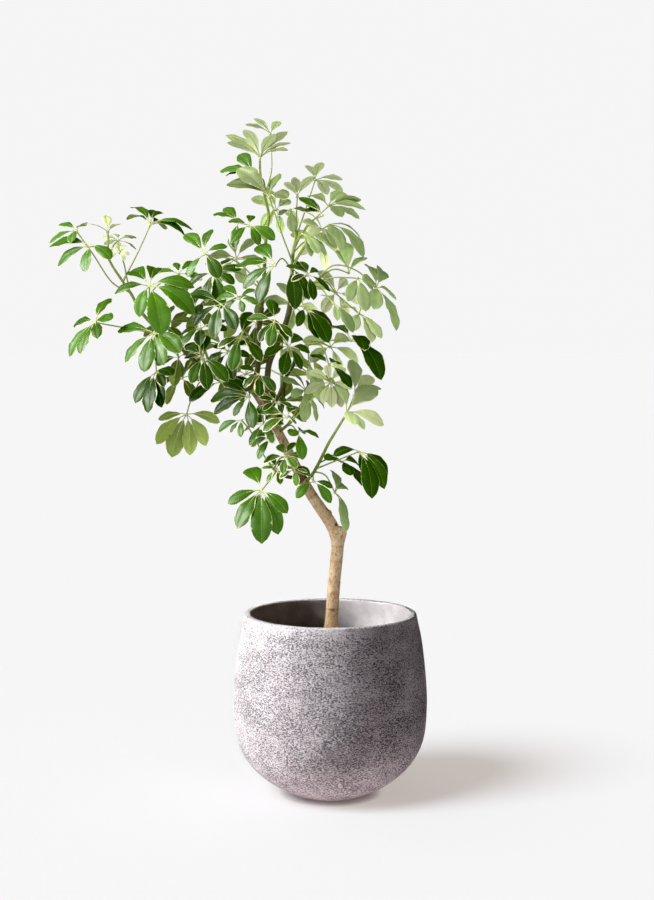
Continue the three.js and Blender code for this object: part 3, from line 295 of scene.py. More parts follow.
shoot("leader_right", "leaf_pale", [
    (-68, 912, -23, 3.2), (-66, 960, -18, 3), (-62, 985, -16, 2.4), (-60, 1000, -15, 2)
], [
    Leaf(MOSS, (-67, 950), (-107, 1062, -50), FRONT_LEFT, 66, 0,
         [(-145, 1100), (-89, 1103), (-182, 1084), (-160, 1098), (-73, 1060)], via=[(-86, 1000, -34)],
         opening=84),
    Leaf(PALE, (-60, 998), (-58, 1062, 22), UP_BACK, 44, 0,
         [(-80, 1088), (-62, 1097), (-25, 1090)], opening=70),
    Leaf(PALE, (-61, 990), (-27, 1091, 10), UP_BACK, 48, 0,
         [(-40, 1117), (-15, 1117), (22, 1092), (22, 1070), (-5, 1066)], via=[(-42, 1045, 0)], opening=84),
    Leaf(SAGE, (-63, 978), (-4, 1046, -40), UP_BACK, 64, 0,
         [(-38, 1064), (24, 1070), (62, 1040), (51, 1024), (21, 1027), (53, 1050)], via=[(-36, 1015, -24)]),
    Leaf(EDGED, (-64, 970), (-14, 1030, -92), UP_LEFT, 46, 0, [(-41, 1052), (-55, 1056), (-48, 1039)]),
    Leaf(SAGE, (-66, 945), (-2, 1014, 34), UP_RIGHT, 70, 0,
         [(52, 990), (58, 956), (21, 971), (6, 981)], via=[(-36, 990, 20)], arch=0.18),
    Leaf(PALE, (-66, 940), (-16, 1006, -62), RIGHT, 50, 6, [(18, 970), (6, 978)], via=[(-38, 985, -44)]),
    Leaf(SAGE, (-64, 962), (-48, 998, -84), FRONT_RIGHT, 58, 0,
         [(-34, 958), (-7, 960), (9, 967), (-24, 957)]),
    Leaf(MOSS, (-61, 990), (-70, 1040, -18), FRONT, 44, 0, [(-92, 1030), (-40, 1038), (-65, 1000)]),
    Leaf(EDGED, (-67, 935), (-97, 943, -112), FRONT_LEFT, 72, 0,
         [(-167, 941), (-154, 902), (-126, 877), (-129, 977)], via=[(-84, 955, -60)]),
    Leaf(DARK, (-67, 930), (-70, 940, -72), FRONT_RIGHT, 70, 0, [(-57, 872), (-33, 888), (-45, 934)]),
    Leaf(PALE, (-65, 965), (-22, 985, 84), BACK_RIGHT, 62, 6, [], via=[(-44, 985, 46)]),
])
shoot("spray_upper_right", "leaf_mid", [
    (-68, 886, -26, 2.8), (-56, 900, -32, 2.6), (-42, 908, -38, 2.4), (-27, 914, -42, 2)
], [
    Leaf(SAGE, (-27, 914), (32, 930, -20), UP, 50, 0,
         [(12, 970), (27, 978), (64, 957)], via=[(4, 936, -44)]),
    Leaf(SAGE, (-32, 912), (48, 921, -74), FRONT_RIGHT, 60, 0,
         [(62, 862), (75, 900), (30, 880)], via=[(6, 922, -60)]),
    Leaf(SAGE, (-27, 914), (80, 903, -40), RIGHT, 76, 0,
         [(65, 943), (92, 934), (113, 884), (116, 828), (76, 866), (50, 908)],
         via=[(5, 943, -50), (46, 934, -46)], arch=0.14),
    Leaf(PALE, (-36, 910), (50, 859, -60), UP_RIGHT, 58, 0,
         [(40, 828), (73, 808), (90, 815), (62, 872), (20, 868)], via=[(0, 900, -60)]),
    Leaf(SAGE, (-44, 907), (5, 877, -104), FRONT_RIGHT, 50, 0, [(-14, 890), (40, 825), (12, 846)]),
    Leaf(DARK, (-50, 904), (-46, 868, -50), FRONT_RIGHT, 58, 0,
         [(-59, 836), (-21, 815), (4, 835), (-8, 800)], via=[(-52, 888, -36)]),
    Leaf(EDGED, (-50, 904), (-40, 926, -80), FRONT_RIGHT, 44, 6, [(-30, 882), (0, 897)]),
    Leaf(PALE, (-40, 909), (10, 895, 70), BACK_RIGHT, 64, 6, [], via=[(-10, 915, 30)]),
])
shoot("spray_right_middle", "leaf_dark", [
    (-62, 788, 41, 2.8), (-52, 798, 30, 2.6), (-40, 804, 16, 2.4), (-26, 806, 0, 2)
], [
    Leaf(EDGED, (-28, 806), (37, 811, -10), UP, 84, 0,
         [(-3, 831), (90, 741), (60, 793)], via=[(0, 812, -6)], arch=0.2),
    Leaf(DARK, (-30, 806), (-2, 768, -60), UP_RIGHT, 56, 0,
         [(37, 727), (13, 770), (-35, 787)], via=[(-14, 800, -30)]),
    Leaf(SAGE, (-40, 804), (-38, 772, -30), AWAY, 60, 3, [(-38, 742), (-18, 705)]),
    Leaf(SAGE, (-44, 802), (0, 800, 100), BACK_RIGHT, 66, 6, [], via=[(-24, 810, 60)]),
])
shoot("shoot_lower_right", "leaf_pale", [
    (-47, 560, 0, 3), (-34, 572, -14, 2.9), (-22, 592, -24, 2.8), (-12, 612, -30, 2.7), (-2, 632, -36, 2.5),
    (15, 660, -42, 2.2), (26, 678, -46, 2)
], [
    Leaf(PALE, (26, 678), (29, 685, -54), FRONT_RIGHT, 72, 0,
         [(82, 730), (14, 740), (60, 654), (95, 662), (42, 662)], opening=88),
    Leaf(PALE, (18, 664), (42, 715, -8), UP_RIGHT, 62, 0,
         [(40, 778), (76, 747), (90, 727)], via=[(32, 690, -20)], opening=76),
    Leaf(DARK, (-26, 585), (50, 615, -66), FRONT_RIGHT, 78, 0,
         [(4, 607), (57, 578), (74, 531), (102, 572), (96, 548)], via=[(20, 603, -50)], arch=0.18),
    Leaf(GREEN, (-20, 595), (20, 597, -6), UP_RIGHT, 56, 0, [(50, 592), (60, 552), (36, 572), (-6, 588)]),
    Leaf(GREEN, (-32, 575), (-30, 562, -70), FRONT, 48, 0, [(5, 550), (1, 523), (-61, 532), (-61, 587)]),
    Leaf(SAGE, (-28, 580), (8, 542, -36), RIGHT, 66, 0,
         [(26, 554), (32, 500), (28, 472), (8, 578)], via=[(-8, 572, -30)]),
])
shoot("spray_low_left", "leaf_dark", [
    (-86, 574, -26, 2.6), (-96, 580, -32, 2.5), (-104, 588, -40, 2.2), (-109, 596, -46, 1.9)
], [
    Leaf(GREEN, (-96, 580), (-122, 546, -84), FRONT, 92, 0,
         [(-183, 522), (-165, 476), (-122, 450), (-92, 472), (-76, 505), (-147, 585), (-136, 500)],
         via=[(-106, 566, -52)]),
    Leaf(GREEN, (-107, 592), (-157, 671, -76), FRONT_LEFT, 42, 0,
         [(-198, 650), (-177, 648), (-158, 640), (-120, 668)], via=[(-120, 612, -54), (-140, 650, -64)]),
    Leaf(CREAMY, (-100, 584), (-80, 606, -74), FRONT_LEFT, 44, 6, [(-120, 594), (-84, 574)]),
    Leaf(CREAMY, (-98, 582), (-96, 584, -58), FRONT, 30, 6, [(-113, 560), (-88, 556), (-78, 574)]),
    Leaf(CREAMY, (-106, 591), (-64, 582, -80), FRONT, 34, 6, [(-60, 553), (-40, 578)]),
])
shoot("spray_fork", "leaf_dark", [
    (-134, 724, 12, 2.8), (-141, 722, -10, 2.6), (-142, 720, -34, 2.4), (-136, 722, -56, 2)
], [
    Leaf(EDGED, (-142, 720), (-143, 712, -62), FRONT_LEFT, 68, 0,
         [(-207, 682), (-171, 677), (-212, 706), (-184, 733), (-136, 656)]),
    Leaf(EDGED, (-136, 722), (-128, 752, -96), FRONT, 46, 0,
         [(-160, 765), (-153, 728), (-125, 712), (-97, 722)]),
    Leaf(EDGED, (-137, 722), (-96, 702, -80), FRONT_RIGHT, 34, 6, [(-68, 688)]),
    Leaf(CREAMY, (-140, 722), (-118, 664, -64), FRONT_LEFT, 44, 6,
         [(-143, 625), (-100, 628)], via=[(-122, 690, -44)]),
])
shoot("spray_lower_centre", "leaf_dark", [
    (-91, 650, 0, 2.8), (-81, 658, -22, 2.6), (-74, 664, -40, 2.4), (-68, 668, -58, 2)
], [
    Leaf(CREAMY, (-68, 668), (-76, 676, -98), FRONT, 50, 0,
         [(-120, 650), (-134, 688), (-66, 697), (-60, 664)]),
    Leaf(GREEN, (-78, 660), (-58, 650, -66), FRONT_RIGHT, 50, 0,
         [(-71, 643), (-50, 648), (-20, 640), (-50, 600)]),
    Leaf(CREAMY, (-80, 658), (-103, 640, -52), FRONT_LEFT, 46, 0, [(-128, 601), (-141, 624), (-138, 640)]),
    Leaf(PALE, (-72, 665), (0, 737, -30), AWAY, 50, 7,
         [(-14, 700), (2, 690), (20, 690)], via=[(-35, 706, -46)]),
    Leaf(SAGE, (-76, 662), (-44, 722, 0), RIGHT, 58, 6, [(-25, 668), (-48, 668)], via=[(-52, 700, -10)]),
])
shoot("spray_centre", "leaf_dark", [
    (-127, 796, 25, 2.8), (-136, 806, 2, 2.6), (-142, 816, -22, 2.4), (-146, 822, -40, 2)
], [
    Leaf(EDGED, (-146, 822), (-158, 816, -98), FRONT, 54, 0,
         [(-121, 773), (-174, 758), (-199, 799), (-140, 862)]),
    Leaf(DARK, (-142, 816), (-180, 790, -40), FRONT_LEFT, 56, 7, [(-205, 750), (-170, 742)]),
])
shoot("spray_right_limb", "leaf_dark", [
    (-93, 808, -25, 2.8), (-97, 822, -44, 2.6), (-98, 832, -58, 2.4), (-98, 838, -72, 2)
], [
    Leaf(EDGED, (-98, 838), (-98, 844, -106), FRONT, 54, 0,
         [(-147, 849), (-125, 808), (-107, 794), (-67, 816), (-105, 884)]),
    Leaf(EDGED, (-98, 830), (-74, 800, -70), FRONT_RIGHT, 54, 7, [(-85, 750), (-52, 760)]),
])
shoot("spray_behind_trunk", "leaf_mid", [
    (-86, 728, 93, 3), (-86, 765, 116, 2.8), (-86, 800, 130, 2.4), (-82, 835, 138, 2)
], [
    Leaf(DARK, (-84, 750), (-150, 752, 165), BACK_LEFT, 66, 6, []),
    Leaf(GREEN, (-86, 765), (-28, 745, 165), BACK_RIGHT, 64, 6, []),
    Leaf(DARK, (-86, 800), (-130, 842, 188), BACK_LEFT, 66, 6, []),
    Leaf(SAGE, (-82, 835), (-62, 870, 176), BACK_RIGHT, 66, 6, []),
    Leaf(DARK, (-84, 745), (-88, 700, 172), AWAY, 64, 6, []),
])
shoot("spray_behind_left", "leaf_mid", [
    (-214, 756, 44, 3), (-222, 772, 72, 2.8), (-230, 796, 98, 2.4), (-232, 820, 116, 2)
], [
    Leaf(DARK, (-226, 784), (-262, 745, 140), BACK_LEFT, 66, 6, []),
    Leaf(GREEN, (-230, 796), (-190, 800, 165), AWAY, 64, 6, []),
    Leaf(DARK, (-232, 820), (-238, 866, 150), BACK_LEFT, 66, 6, []),
])


def seen(point):
    """A noted (u, w, depth) as a place in the frame, in millimetres."""
    u, w, depth = point[:3]
    scale = (EYE_DISTANCE + depth) / EYE_DISTANCE
    return np.array([EYE_X + (u - EYE_X) * scale, depth, EYE_HEIGHT + (w - EYE_HEIGHT) * scale])


def draw(i, j):
    """A repeatable draw between 0 and 1 for two whole numbers."""
    s = math.sin(i * 12.9898 + j * 78.233) * 43758.5453
    return s - math.floor(s)


def unit(vector):
    return vector / np.linalg.norm(vector)


def turned_about(vector, axis, degrees):
    """The vector turned round an axis of length 1."""
    angle = math.radians(degrees)
    along = axis * np.dot(axis, vector)
    return (vector - along) * math.cos(angle) + np.cross(axis, vector) * math.sin(angle) + along


def smoothstep(value, low, high):
    t = np.clip((value - low) / (high - low), 0, 1)
    return t * t * (3 - 2 * t)


def spline(points, samples):
    """A smooth curve through the points, sampled evenly from point to point."""
    p = np.asarray(points, float)
    ends = np.vstack([2 * p[0] - p[1], p, 2 * p[-1] - p[-2]])
    t = np.linspace(0, len(p) - 1, samples)
    low = np.minimum(t.astype(int), len(p) - 2)
    w = (t - low)[:, None]
    before, start, end, after = (ends[low + k] for k in range(4))
    leave = (end - before) / 2
    arrive = (after - start) / 2
    return (
        start + leave * w + (3 * (end - start) - 2 * leave - arrive) * w**2
        + (2 * (start - end) + leave + arrive) * w**3
    )


def along_stations(stations, samples):
    """The smooth curve through a tube's noted stations, and the radius at each of its points."""
    places = np.linspace(0, len(stations) - 1, samples)
    radii = np.interp(places, range(len(stations)), [s[3] for s in stations])
    return spline([seen(s) for s in stations], samples), radii


def tree_of(places):
    """The places as a tree that finds the nearest one."""
    tree = kdtree.KDTree(len(places))
    for i, place in enumerate(places):
        tree.insert(place, i)
    tree.balance()
    return tree


def new_mesh(name, points, faces):
    """A mesh from rows of points in millimetres."""
    mesh = bpy.data.meshes.new(name)
    mesh.from_pydata((np.vstack(points) * MM).tolist(), [], faces)
    return mesh


def add_object(name, data):
    """A new object in the scene."""
    thing = bpy.data.objects.new(name, data)
    bpy.context.scene.collection.objects.link(thing)
    return thing


def icosphere(level):
    """Corners and faces of a ball of radius 1."""
    mesh = bmesh.new()
    bmesh.ops.create_icosphere(mesh, subdivisions=level, radius=1)
    corners = np.array([v.co[:] for v in mesh.verts])
    faces = [tuple(v.index for v in face.verts) for face in mesh.faces]
    mesh.free()
    return corners, faces


BALL = icosphere(1)


class Surface:
    """Closed bodies gathered into one mesh, with two vectors of facts for the materials at each point:
    a leaflet's blade (across, along and its number) and its look (tone, margin and way to the edge)."""

    def __init__(self):
        self.points = []
        self.faces = []
        self.slots = []
        self.facts = {"blade": [], "look": []}
        self.count = 0

    def add(self, points, faces, slots, look=(0, 0, 0), blade=(0, 0, 0)):
        """Points in millimetres; faces count from 0; slots, look and blade are one value or one each."""
        self.points.append(points)
        self.faces.extend(tuple(index + self.count for index in face) for face in faces)
        self.slots.extend(np.broadcast_to(slots, (len(faces),)).tolist())
        for name, fact in (("blade", blade), ("look", look)):
            self.facts[name].append(np.broadcast_to(np.asarray(fact, float), (len(points), 3)))
        self.count += len(points)

    def rings(self, rings, ends, slots, look):
        """A closed body of rings one after another, with a fan of faces to a point at each end. The
        slots are one value or one for each ring."""
        slots = np.broadcast_to(slots, (len(rings),))
        sides = len(rings[0])
        start = len(rings) * sides
        last = start - sides
        turn = [(i, (i + 1) % sides) for i in range(sides)]
        faces, slot_rows = [], []
        for near, slot in zip(range(0, last, sides), slots):
            far = near + sides
            faces += [(near + i, near + j, far + j, far + i) for i, j in turn]
            slot_rows += [slot] * sides
        for i, j in turn:
            faces += [(start, j, i), (start + 1, last + i, last + j)]
            slot_rows += [slots[0], slots[-1]]
        self.add(np.vstack([*rings, ends]), faces, slot_rows, look)

    def tube(self, centres, radii, sides, slot=0, look=(0, 0, 0)):
        """A closed tube along the centres, with one look or one for each of them."""
        side = np.array([1.0, 0, 0])
        turn = np.linspace(0, 2 * math.pi, sides, endpoint=False)
        rings = []
        for centre, tangent, radius in zip(centres, np.gradient(centres, axis=0), radii):
            along = unit(tangent)
            if abs(np.dot(side, along)) > 0.95:
                side = np.array([0, 1.0, 0])
            side = unit(side - along * np.dot(side, along))
            out = np.cross(along, side)
            rings.append(centre + radius * (np.outer(np.cos(turn), side) + np.outer(np.sin(turn), out)))
        look = np.broadcast_to(np.asarray(look, float), (len(centres), 3))
        look = np.vstack([np.repeat(look, sides, axis=0), look[:1], look[-1:]])
        self.rings(rings, [centres[0], centres[-1]], slot, look)

    def lathe(self, profile, sides, slots=0, look=(0, 0, 0)):
        """A closed turned body, whose profile runs from the axis to the axis as (radius, height). Gives
        back its points."""
        turn = np.linspace(0, 2 * math.pi, sides, endpoint=False)
        rings = [np.column_stack([r * np.cos(turn), r * np.sin(turn), np.full(sides, z)])
                 for r, z in profile[1:-1]]
        self.rings(rings, [(0, 0, profile[0][1]), (0, 0, profile[-1][1])], slots, look)
        return self.points[-1]

    def ball(self, centre, radii, slot, look, seed):
        """A small uneven lump."""
        corners, faces = BALL
        uneven = np.array([1 + 0.16 * (draw(seed, k) - 0.5) for k in range(len(corners))])[:, None]
        self.add(np.asarray(centre) + corners * uneven * np.asarray(radii), faces, slot, look)

    def piece(self, name, materials, replaced, slot, sharp=180):
        """The mesh as an object on the plant's one body, in the place of a node of the frame. Edges
        sharper than the angle in degrees are shaded as edges."""
        mesh = new_mesh(name, self.points, self.faces)
        for material in materials:
            mesh.materials.append(material)
        mesh.polygons.foreach_set("material_index", self.slots)
        for label, rows in self.facts.items():
            fact = mesh.attributes.new(label, "FLOAT_VECTOR", "POINT")
            fact.data.foreach_set("vector", np.vstack(rows).ravel())
        mesh.shade_smooth()
        if sharp < 180:
            mesh.set_sharp_from_angle(angle=math.radians(sharp))
        thing = add_object(name, mesh)
        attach(thing, "root")
        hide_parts(replaced)
        return thing


def blade_grid():
    """A leaflet's blade laid flat: for each point its place across (-1 to 1) and along (0 to 1) and its
    side (1 above, -1 below, 0 on the edge), and the faces with their slots."""
    spots = [(0.0, 0.0, 0)]
    above, below = [[0] * (BLADE_COLUMNS + 1)], [[0] * (BLADE_COLUMNS + 1)]
    for row in range(1, BLADE_ROWS):
        for rows, side in ((above, 1), (below, -1)):
            line = []
            for column in range(BLADE_COLUMNS + 1):
                edge = column in (0, BLADE_COLUMNS)
                if edge and side < 0:
                    line.append(above[row][column])
                    continue
                line.append(len(spots))
                spots.append((2 * column / BLADE_COLUMNS - 1, row / BLADE_ROWS, 0 if edge else side))
            rows.append(line)
    tip = [len(spots)] * (BLADE_COLUMNS + 1)
    spots.append((0.0, 1.0, 0))
    faces, slots = [], []
    for slot, rows in ((LEAF_TOP, above + [tip]), (LEAF_UNDER, below + [tip])):
        for near, far in zip(rows, rows[1:]):
            for i in range(BLADE_COLUMNS):
                ring = [near[i], near[i + 1], far[i + 1], far[i]]
                faces.append(tuple(dict.fromkeys(ring if slot == LEAF_TOP else ring[::-1])))
                slots.append(slot)
    across, along, level = np.array(spots, float).T
    return across, along, level, faces, slots


GRID = blade_grid()


def blade_width(s):
    """Half width of a leaflet along its blade, as part of the widest: wedge-shaped foot, blunt tip."""
    return np.sin(math.pi * np.clip(s, 0, 1) ** 1.45) ** 0.62


def spokes_of(entry, number):
    """The leaflets of one compound leaf: the noted tips first, then draws for the free places."""
    hub = seen(entry.hub)
    axis = unit(np.array(entry.face, float))
    opening = math.radians(entry.opening)
    upright = np.array([1.0, 0, 0]) if abs(axis[2]) > 0.9 else np.array([0, 0, 1.0])
    first = unit(np.cross(upright, axis))
    second = np.cross(axis, first)
    spokes, angles = [], []
    for k, (u, w) in enumerate(entry.tips):
        turn = 1 if k % 2 else -1
        best, reach = math.inf, None
        for step in range(-DEPTH_STEPS, DEPTH_STEPS + 1):
            tip = seen((u, w, entry.hub[2] + turn * step * entry.reach / DEPTH_STEPS)) - hub
            size = np.linalg.norm(tip)
            open_by = math.acos(np.dot(tip, axis) / size)
            cost = abs(open_by - opening) + REACH_WEIGHT * abs(size / entry.reach - 1)
            if cost < best - 1e-9:
                best, reach = cost, tip
        angles.append(math.atan2(np.dot(reach, second), np.dot(reach, first)))
        spokes.append(reach)
    start = angles[0] if angles else draw(number, 50) * 2 * math.pi
    for k in range(entry.ring):
        spacing = 2 * math.pi / entry.ring
        angle = start + k * spacing + (draw(number, k) - 0.5) * 0.3 * spacing
        apart = [abs(math.atan2(math.sin(a - angle), math.cos(a - angle))) for a in angles]
        if all(turn > TAKEN * spacing for turn in apart):
            outwards = first * math.cos(angle) + second * math.sin(angle)
            way = axis * math.cos(opening) + outwards * math.sin(opening)
            spokes.append(way * entry.reach * (0.78 + 0.2 * draw(number, k + 20)))
    return hub, axis, spokes


def bent(axis, reach, bend, roll):
    """The reach with one of the bends, and the way its upper side faces."""
    swing, lift = bend
    way = turned_about(reach, axis, swing)
    way = turned_about(way, unit(np.cross(way, axis)), lift)
    along = unit(way)
    normal = unit(axis - along * np.dot(axis, along))
    return way, turned_about(normal, along, math.degrees(roll))


def add_leaflet(surface, hub, reach, normal, entry, breadth, seed):
    """One leaflet: an arched blade with a groove at its midrib, a wavy edge and a stalk that becomes
    the rib below it."""
    length = np.linalg.norm(reach)
    along = reach / length
    side = np.cross(normal, along)
    bulge = normal - along * along[2]
    bulge[2] += 1
    bulge = unit(bulge)
    widest = LEAFLET_WIDTH * length * breadth / 2
    gull = 0.2 + 0.22 * draw(seed, 1)
    droop = 0.2 + 0.2 * draw(seed, 2)
    wave = 0.05 + 0.07 * draw(seed, 3)
    phase = 2 * math.pi * draw(seed, 4)
    twist = 0.5 * (draw(seed, 5) - 0.5)
    sickle = 0.06 * (draw(seed, 6) - 0.5)

    def spine(t):
        t = np.asarray(t)[:, None]
        return hub + reach * t + (bulge * entry.arch * 4 + side * sickle) * length * t * (1 - t)

    def above(t):
        t = np.asarray(t)[:, None]
        tangent = reach + bulge * entry.arch * length * 4 * (1 - 2 * t)
        up = np.cross(tangent, side)
        return up / np.linalg.norm(up, axis=1)[:, None]

    across, s, level, faces, slots = GRID
    t = BLADE_START + (1 - BLADE_START) * s
    half = widest * blade_width(s)
    ripple = wave * across**2 * np.sin(phase + 15 * s + 2 * np.sign(across)) * np.sin(math.pi * s)
    raised = gull * np.abs(across) - droop * across**2 - GROOVE + ripple + twist * across * (s - 0.4)
    body = level * BLADE_THICKNESS / 2 * np.sqrt(np.clip(1 - across**2, 0, 1))
    points = spine(t) + side * (across * half)[:, None] + above(t) * (raised * half + body)[:, None]
    rim = (1 - np.abs(across)) * half
    tone, margin = entry.look
    tone = min(max(tone + 0.12 * (draw(seed, 7) - 0.5), 0), 1)
    blade = np.column_stack([across * half, t * length, np.full(len(t), seed % 97)])
    look = np.column_stack([np.full(len(t), tone), np.full(len(t), margin), rim])
    surface.add(points, faces, slots, look, blade)
    t = np.concatenate([np.linspace(0.02, BLADE_START, 4), np.linspace(BLADE_START, RIB_END, 9)[1:]])
    s = np.clip((t - BLADE_START) / (1 - BLADE_START), 0, 1)
    sunk = GROOVE * widest * blade_width(s) + 0.25 * smoothstep(s, 0, 0.08)
    radii = STALK_RADIUS * (1 - 0.72 * smoothstep(t, 0.1, RIB_END)) * min(1, length / 60)
    surface.tube(spine(t) - above(t) * sunk[:, None], radii, 5, STEM, (0.1 + 0.25 * tone, margin, 0))


def petiole_route(stem, entry):
    """The petiole's points, from where the stem appears nearest to the noted root up to the hub."""
    curve = spline([s[:3] for s in stem], 81)
    off = np.hypot(curve[:, 0] - entry.root[0], curve[:, 1] - entry.root[1])
    start, hub = seen(curve[np.argmin(off)]), seen(entry.hub)
    way = [seen(p) for p in entry.via]
    if not way:
        middle = (start + hub) / 2
        middle[2] += PETIOLE_RISE * np.linalg.norm(hub - start)
        way = [middle]
    return [start, *way, hub]


def add_stem(surface, stem):
    """The leafy stem, thicker at each node and with a small bud at its end."""
    samples = 8 * len(stem)
    centres, radii = along_stations(stem, samples)
    swell = 1 + 0.1 * np.maximum(0, np.sin(np.arange(samples) * 1.3)) ** 4
    ages = np.outer(np.linspace(1, 0.3, samples), (1, 0, 0))
    surface.tube(centres, radii * swell, 10, STEM, ages)
    surface.ball(centres[-1], np.full(3, radii[-1] * 1.25), STEM, (0.6, 0, 0), 5)


def make_shoot(name, slot, stem, leaves, materials, before):
    """A leafy shoot: its stem, and for each compound leaf a petiole, a hub and its leaflets. A leaflet
    takes the first bend with which its tip ends at a point of the frame's own node. The number of
    leaves before this shoot sets its draws."""
    surface = Surface()
    ends = tree_of(sorted({v.co[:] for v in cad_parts[name].data.vertices}))
    add_stem(surface, stem)
    for number, entry in enumerate(leaves, before + 1):
        hub, axis, spokes = spokes_of(entry, number)
        route = spline(petiole_route(stem, entry), PETIOLE_STEPS)
        radii = np.interp(np.linspace(0, 1, PETIOLE_STEPS), PETIOLE_PLACES, PETIOLE_RADII)
        surface.tube(route, radii, 7, STEM, (0.35 + 0.15 * draw(number, 90), 0, 0))
        surface.ball(hub, HUB_RADII, STEM, (0.1, 0, 0), number)
        for k, reach in enumerate(spokes):
            roll = (draw(number, k + 40) - 0.5) * ROLL
            breadth = 0.92 + 0.16 * draw(number, k + 60)
            for bend in BENDS:
                way, normal = bent(axis, reach, bend, roll)
                if ends.find((hub + way) * MM)[2] < FOUND * MM:
                    add_leaflet(surface, hub, way, normal, entry, breadth, number * 16 + k)
                    break
    return surface.piece("Fine_" + name, materials, name, slot, sharp=70)


def lip_arc(r, z, start, end):
    """Points of the lip's rounding about a centre, from one angle to another in degrees."""
    angles = np.radians(np.linspace(start, end, LIP_STEPS))
    return [(r + LIP_ROUNDING * math.cos(a), z + LIP_ROUNDING * math.sin(a)) for a in angles]


def make_pot(outside, inside):
    """The planter: a stone bowl on a small flat foot, with a rounded lip."""
    wall = spline([(r, z, 0) for r, z in POT_OUTLINE], POT_ROWS)[:, :2]
    slope = np.gradient(wall, axis=0)
    slope /= np.linalg.norm(slope, axis=1)[:, None]
    lining = wall + np.column_stack([-slope[:, 1], slope[:, 0]]) * POT_WALL
    top = POT_HEIGHT - LIP_ROUNDING
    lining = lining[(lining[:, 1] > POT_INSIDE_FLOOR) & (lining[:, 1] < top - 4)][::-2]
    lip = lip_arc(LIP_RADIUS - LIP_ROUNDING, top, 0, 90)
    lip += lip_arc(LIP_RADIUS - POT_WALL + LIP_ROUNDING, top, 90, 180)
    foot = [(0, 0), (POT_OUTLINE[0][0] - FOOT_BEVEL, 0)]
    profile = [*foot, *wall, *lip, *lining, (0, lining[-1][1])]
    outer = len(foot) + len(wall) + len(lip) - 4
    surface = Surface()
    points = surface.lathe(profile, POT_SIDES, [int(k >= outer) for k in range(len(profile) - 2)])
    for i, (x, y, z) in enumerate(points):
        uneven = noise.fractal((x / 45, y / 45, z / 45), 1, 2, 3)
        fade = smoothstep(z, 0, 25) * (1 - smoothstep(z, POT_HEIGHT - 12, POT_HEIGHT - 1))
        inwards = (POT_UNEVEN * uneven * float(fade) + POT_INSET) / max(math.hypot(x, y), 1e-6)
        points[i] = (x - x * inwards, y - y * inwards, z)
    return surface.piece("Planter", [outside, inside], "pot", "pot_stone", sharp=60)


def soil_height(x, y):
    r = math.hypot(x, y)
    base = SOIL_CENTRE + (SOIL_EDGE - SOIL_CENTRE) * r / LIP_RADIUS
    return base - 1.5 + 2.2 * noise.fractal((x / 22, y / 22, 3.1), 0.8, 2, 4)


def make_soil(material):
    """Loose potting soil: an uneven bed with bits of bark and grit half sunk in it."""
    surface = Surface()
    bottom = SOIL_EDGE - SOIL_DEPTH
    profile = [(0, bottom), (SOIL_RADIUS - SOIL_BEVEL, bottom)]
    profile += [(r, SOIL_EDGE) for r in np.linspace(SOIL_RADIUS, 4, SOIL_ROWS)] + [(0, SOIL_CENTRE)]
    points = surface.lathe(profile, SOIL_SIDES, look=(0.3, 0, 0))
    top = points[:, 2] > SOIL_EDGE - 1
    points[top, 2] = [soil_height(x, y) for x, y in points[top, :2]]
    for k in range(SOIL_BITS):
        angle = 2 * math.pi * draw(k, 1)
        distance = (SOIL_RADIUS - 5) * math.sqrt(draw(k, 2))
        x, y = distance * math.cos(angle), distance * math.sin(angle)
        if math.hypot(x - TRUNK_X, y) < TRUNK_ROOM:
            continue
        size = 1.6 + 3.6 * draw(k, 3) ** 2
        shape = size * np.array([1, 0.6 + 0.5 * draw(k, 4), 0.4 + 0.4 * draw(k, 5)])
        surface.ball((x, y, soil_height(x, y) + 0.2 * size), shape, 0, (draw(k, 6), 0, 0), k)
    return surface.piece("Potting_soil", [material], "soil", "soil", sharp=50)


def grown_together(rough):
    """The bodies of a surface as one skin: its points and normals in millimetres, and its faces."""
    lump = add_object("bark_rough", new_mesh("bark_rough", rough.points, rough.faces))
    remesh = lump.modifiers.new("remesh", "REMESH")
    remesh.mode = "VOXEL"
    remesh.voxel_size = BARK_VOXEL * MM
    lump.modifiers.new("smooth", "SMOOTH").iterations = BARK_SMOOTHING
    evaluated = lump.evaluated_get(bpy.context.evaluated_depsgraph_get())
    skin = bpy.data.meshes.new_from_object(evaluated)
    bpy.data.objects.remove(lump)
    points = np.array([v.co[:] for v in skin.vertices]) / MM
    normals = np.array([v.normal[:] for v in skin.vertices])
    faces = [tuple(p.vertices) for p in skin.polygons]
    bpy.data.meshes.remove(skin)
    return points, normals, faces


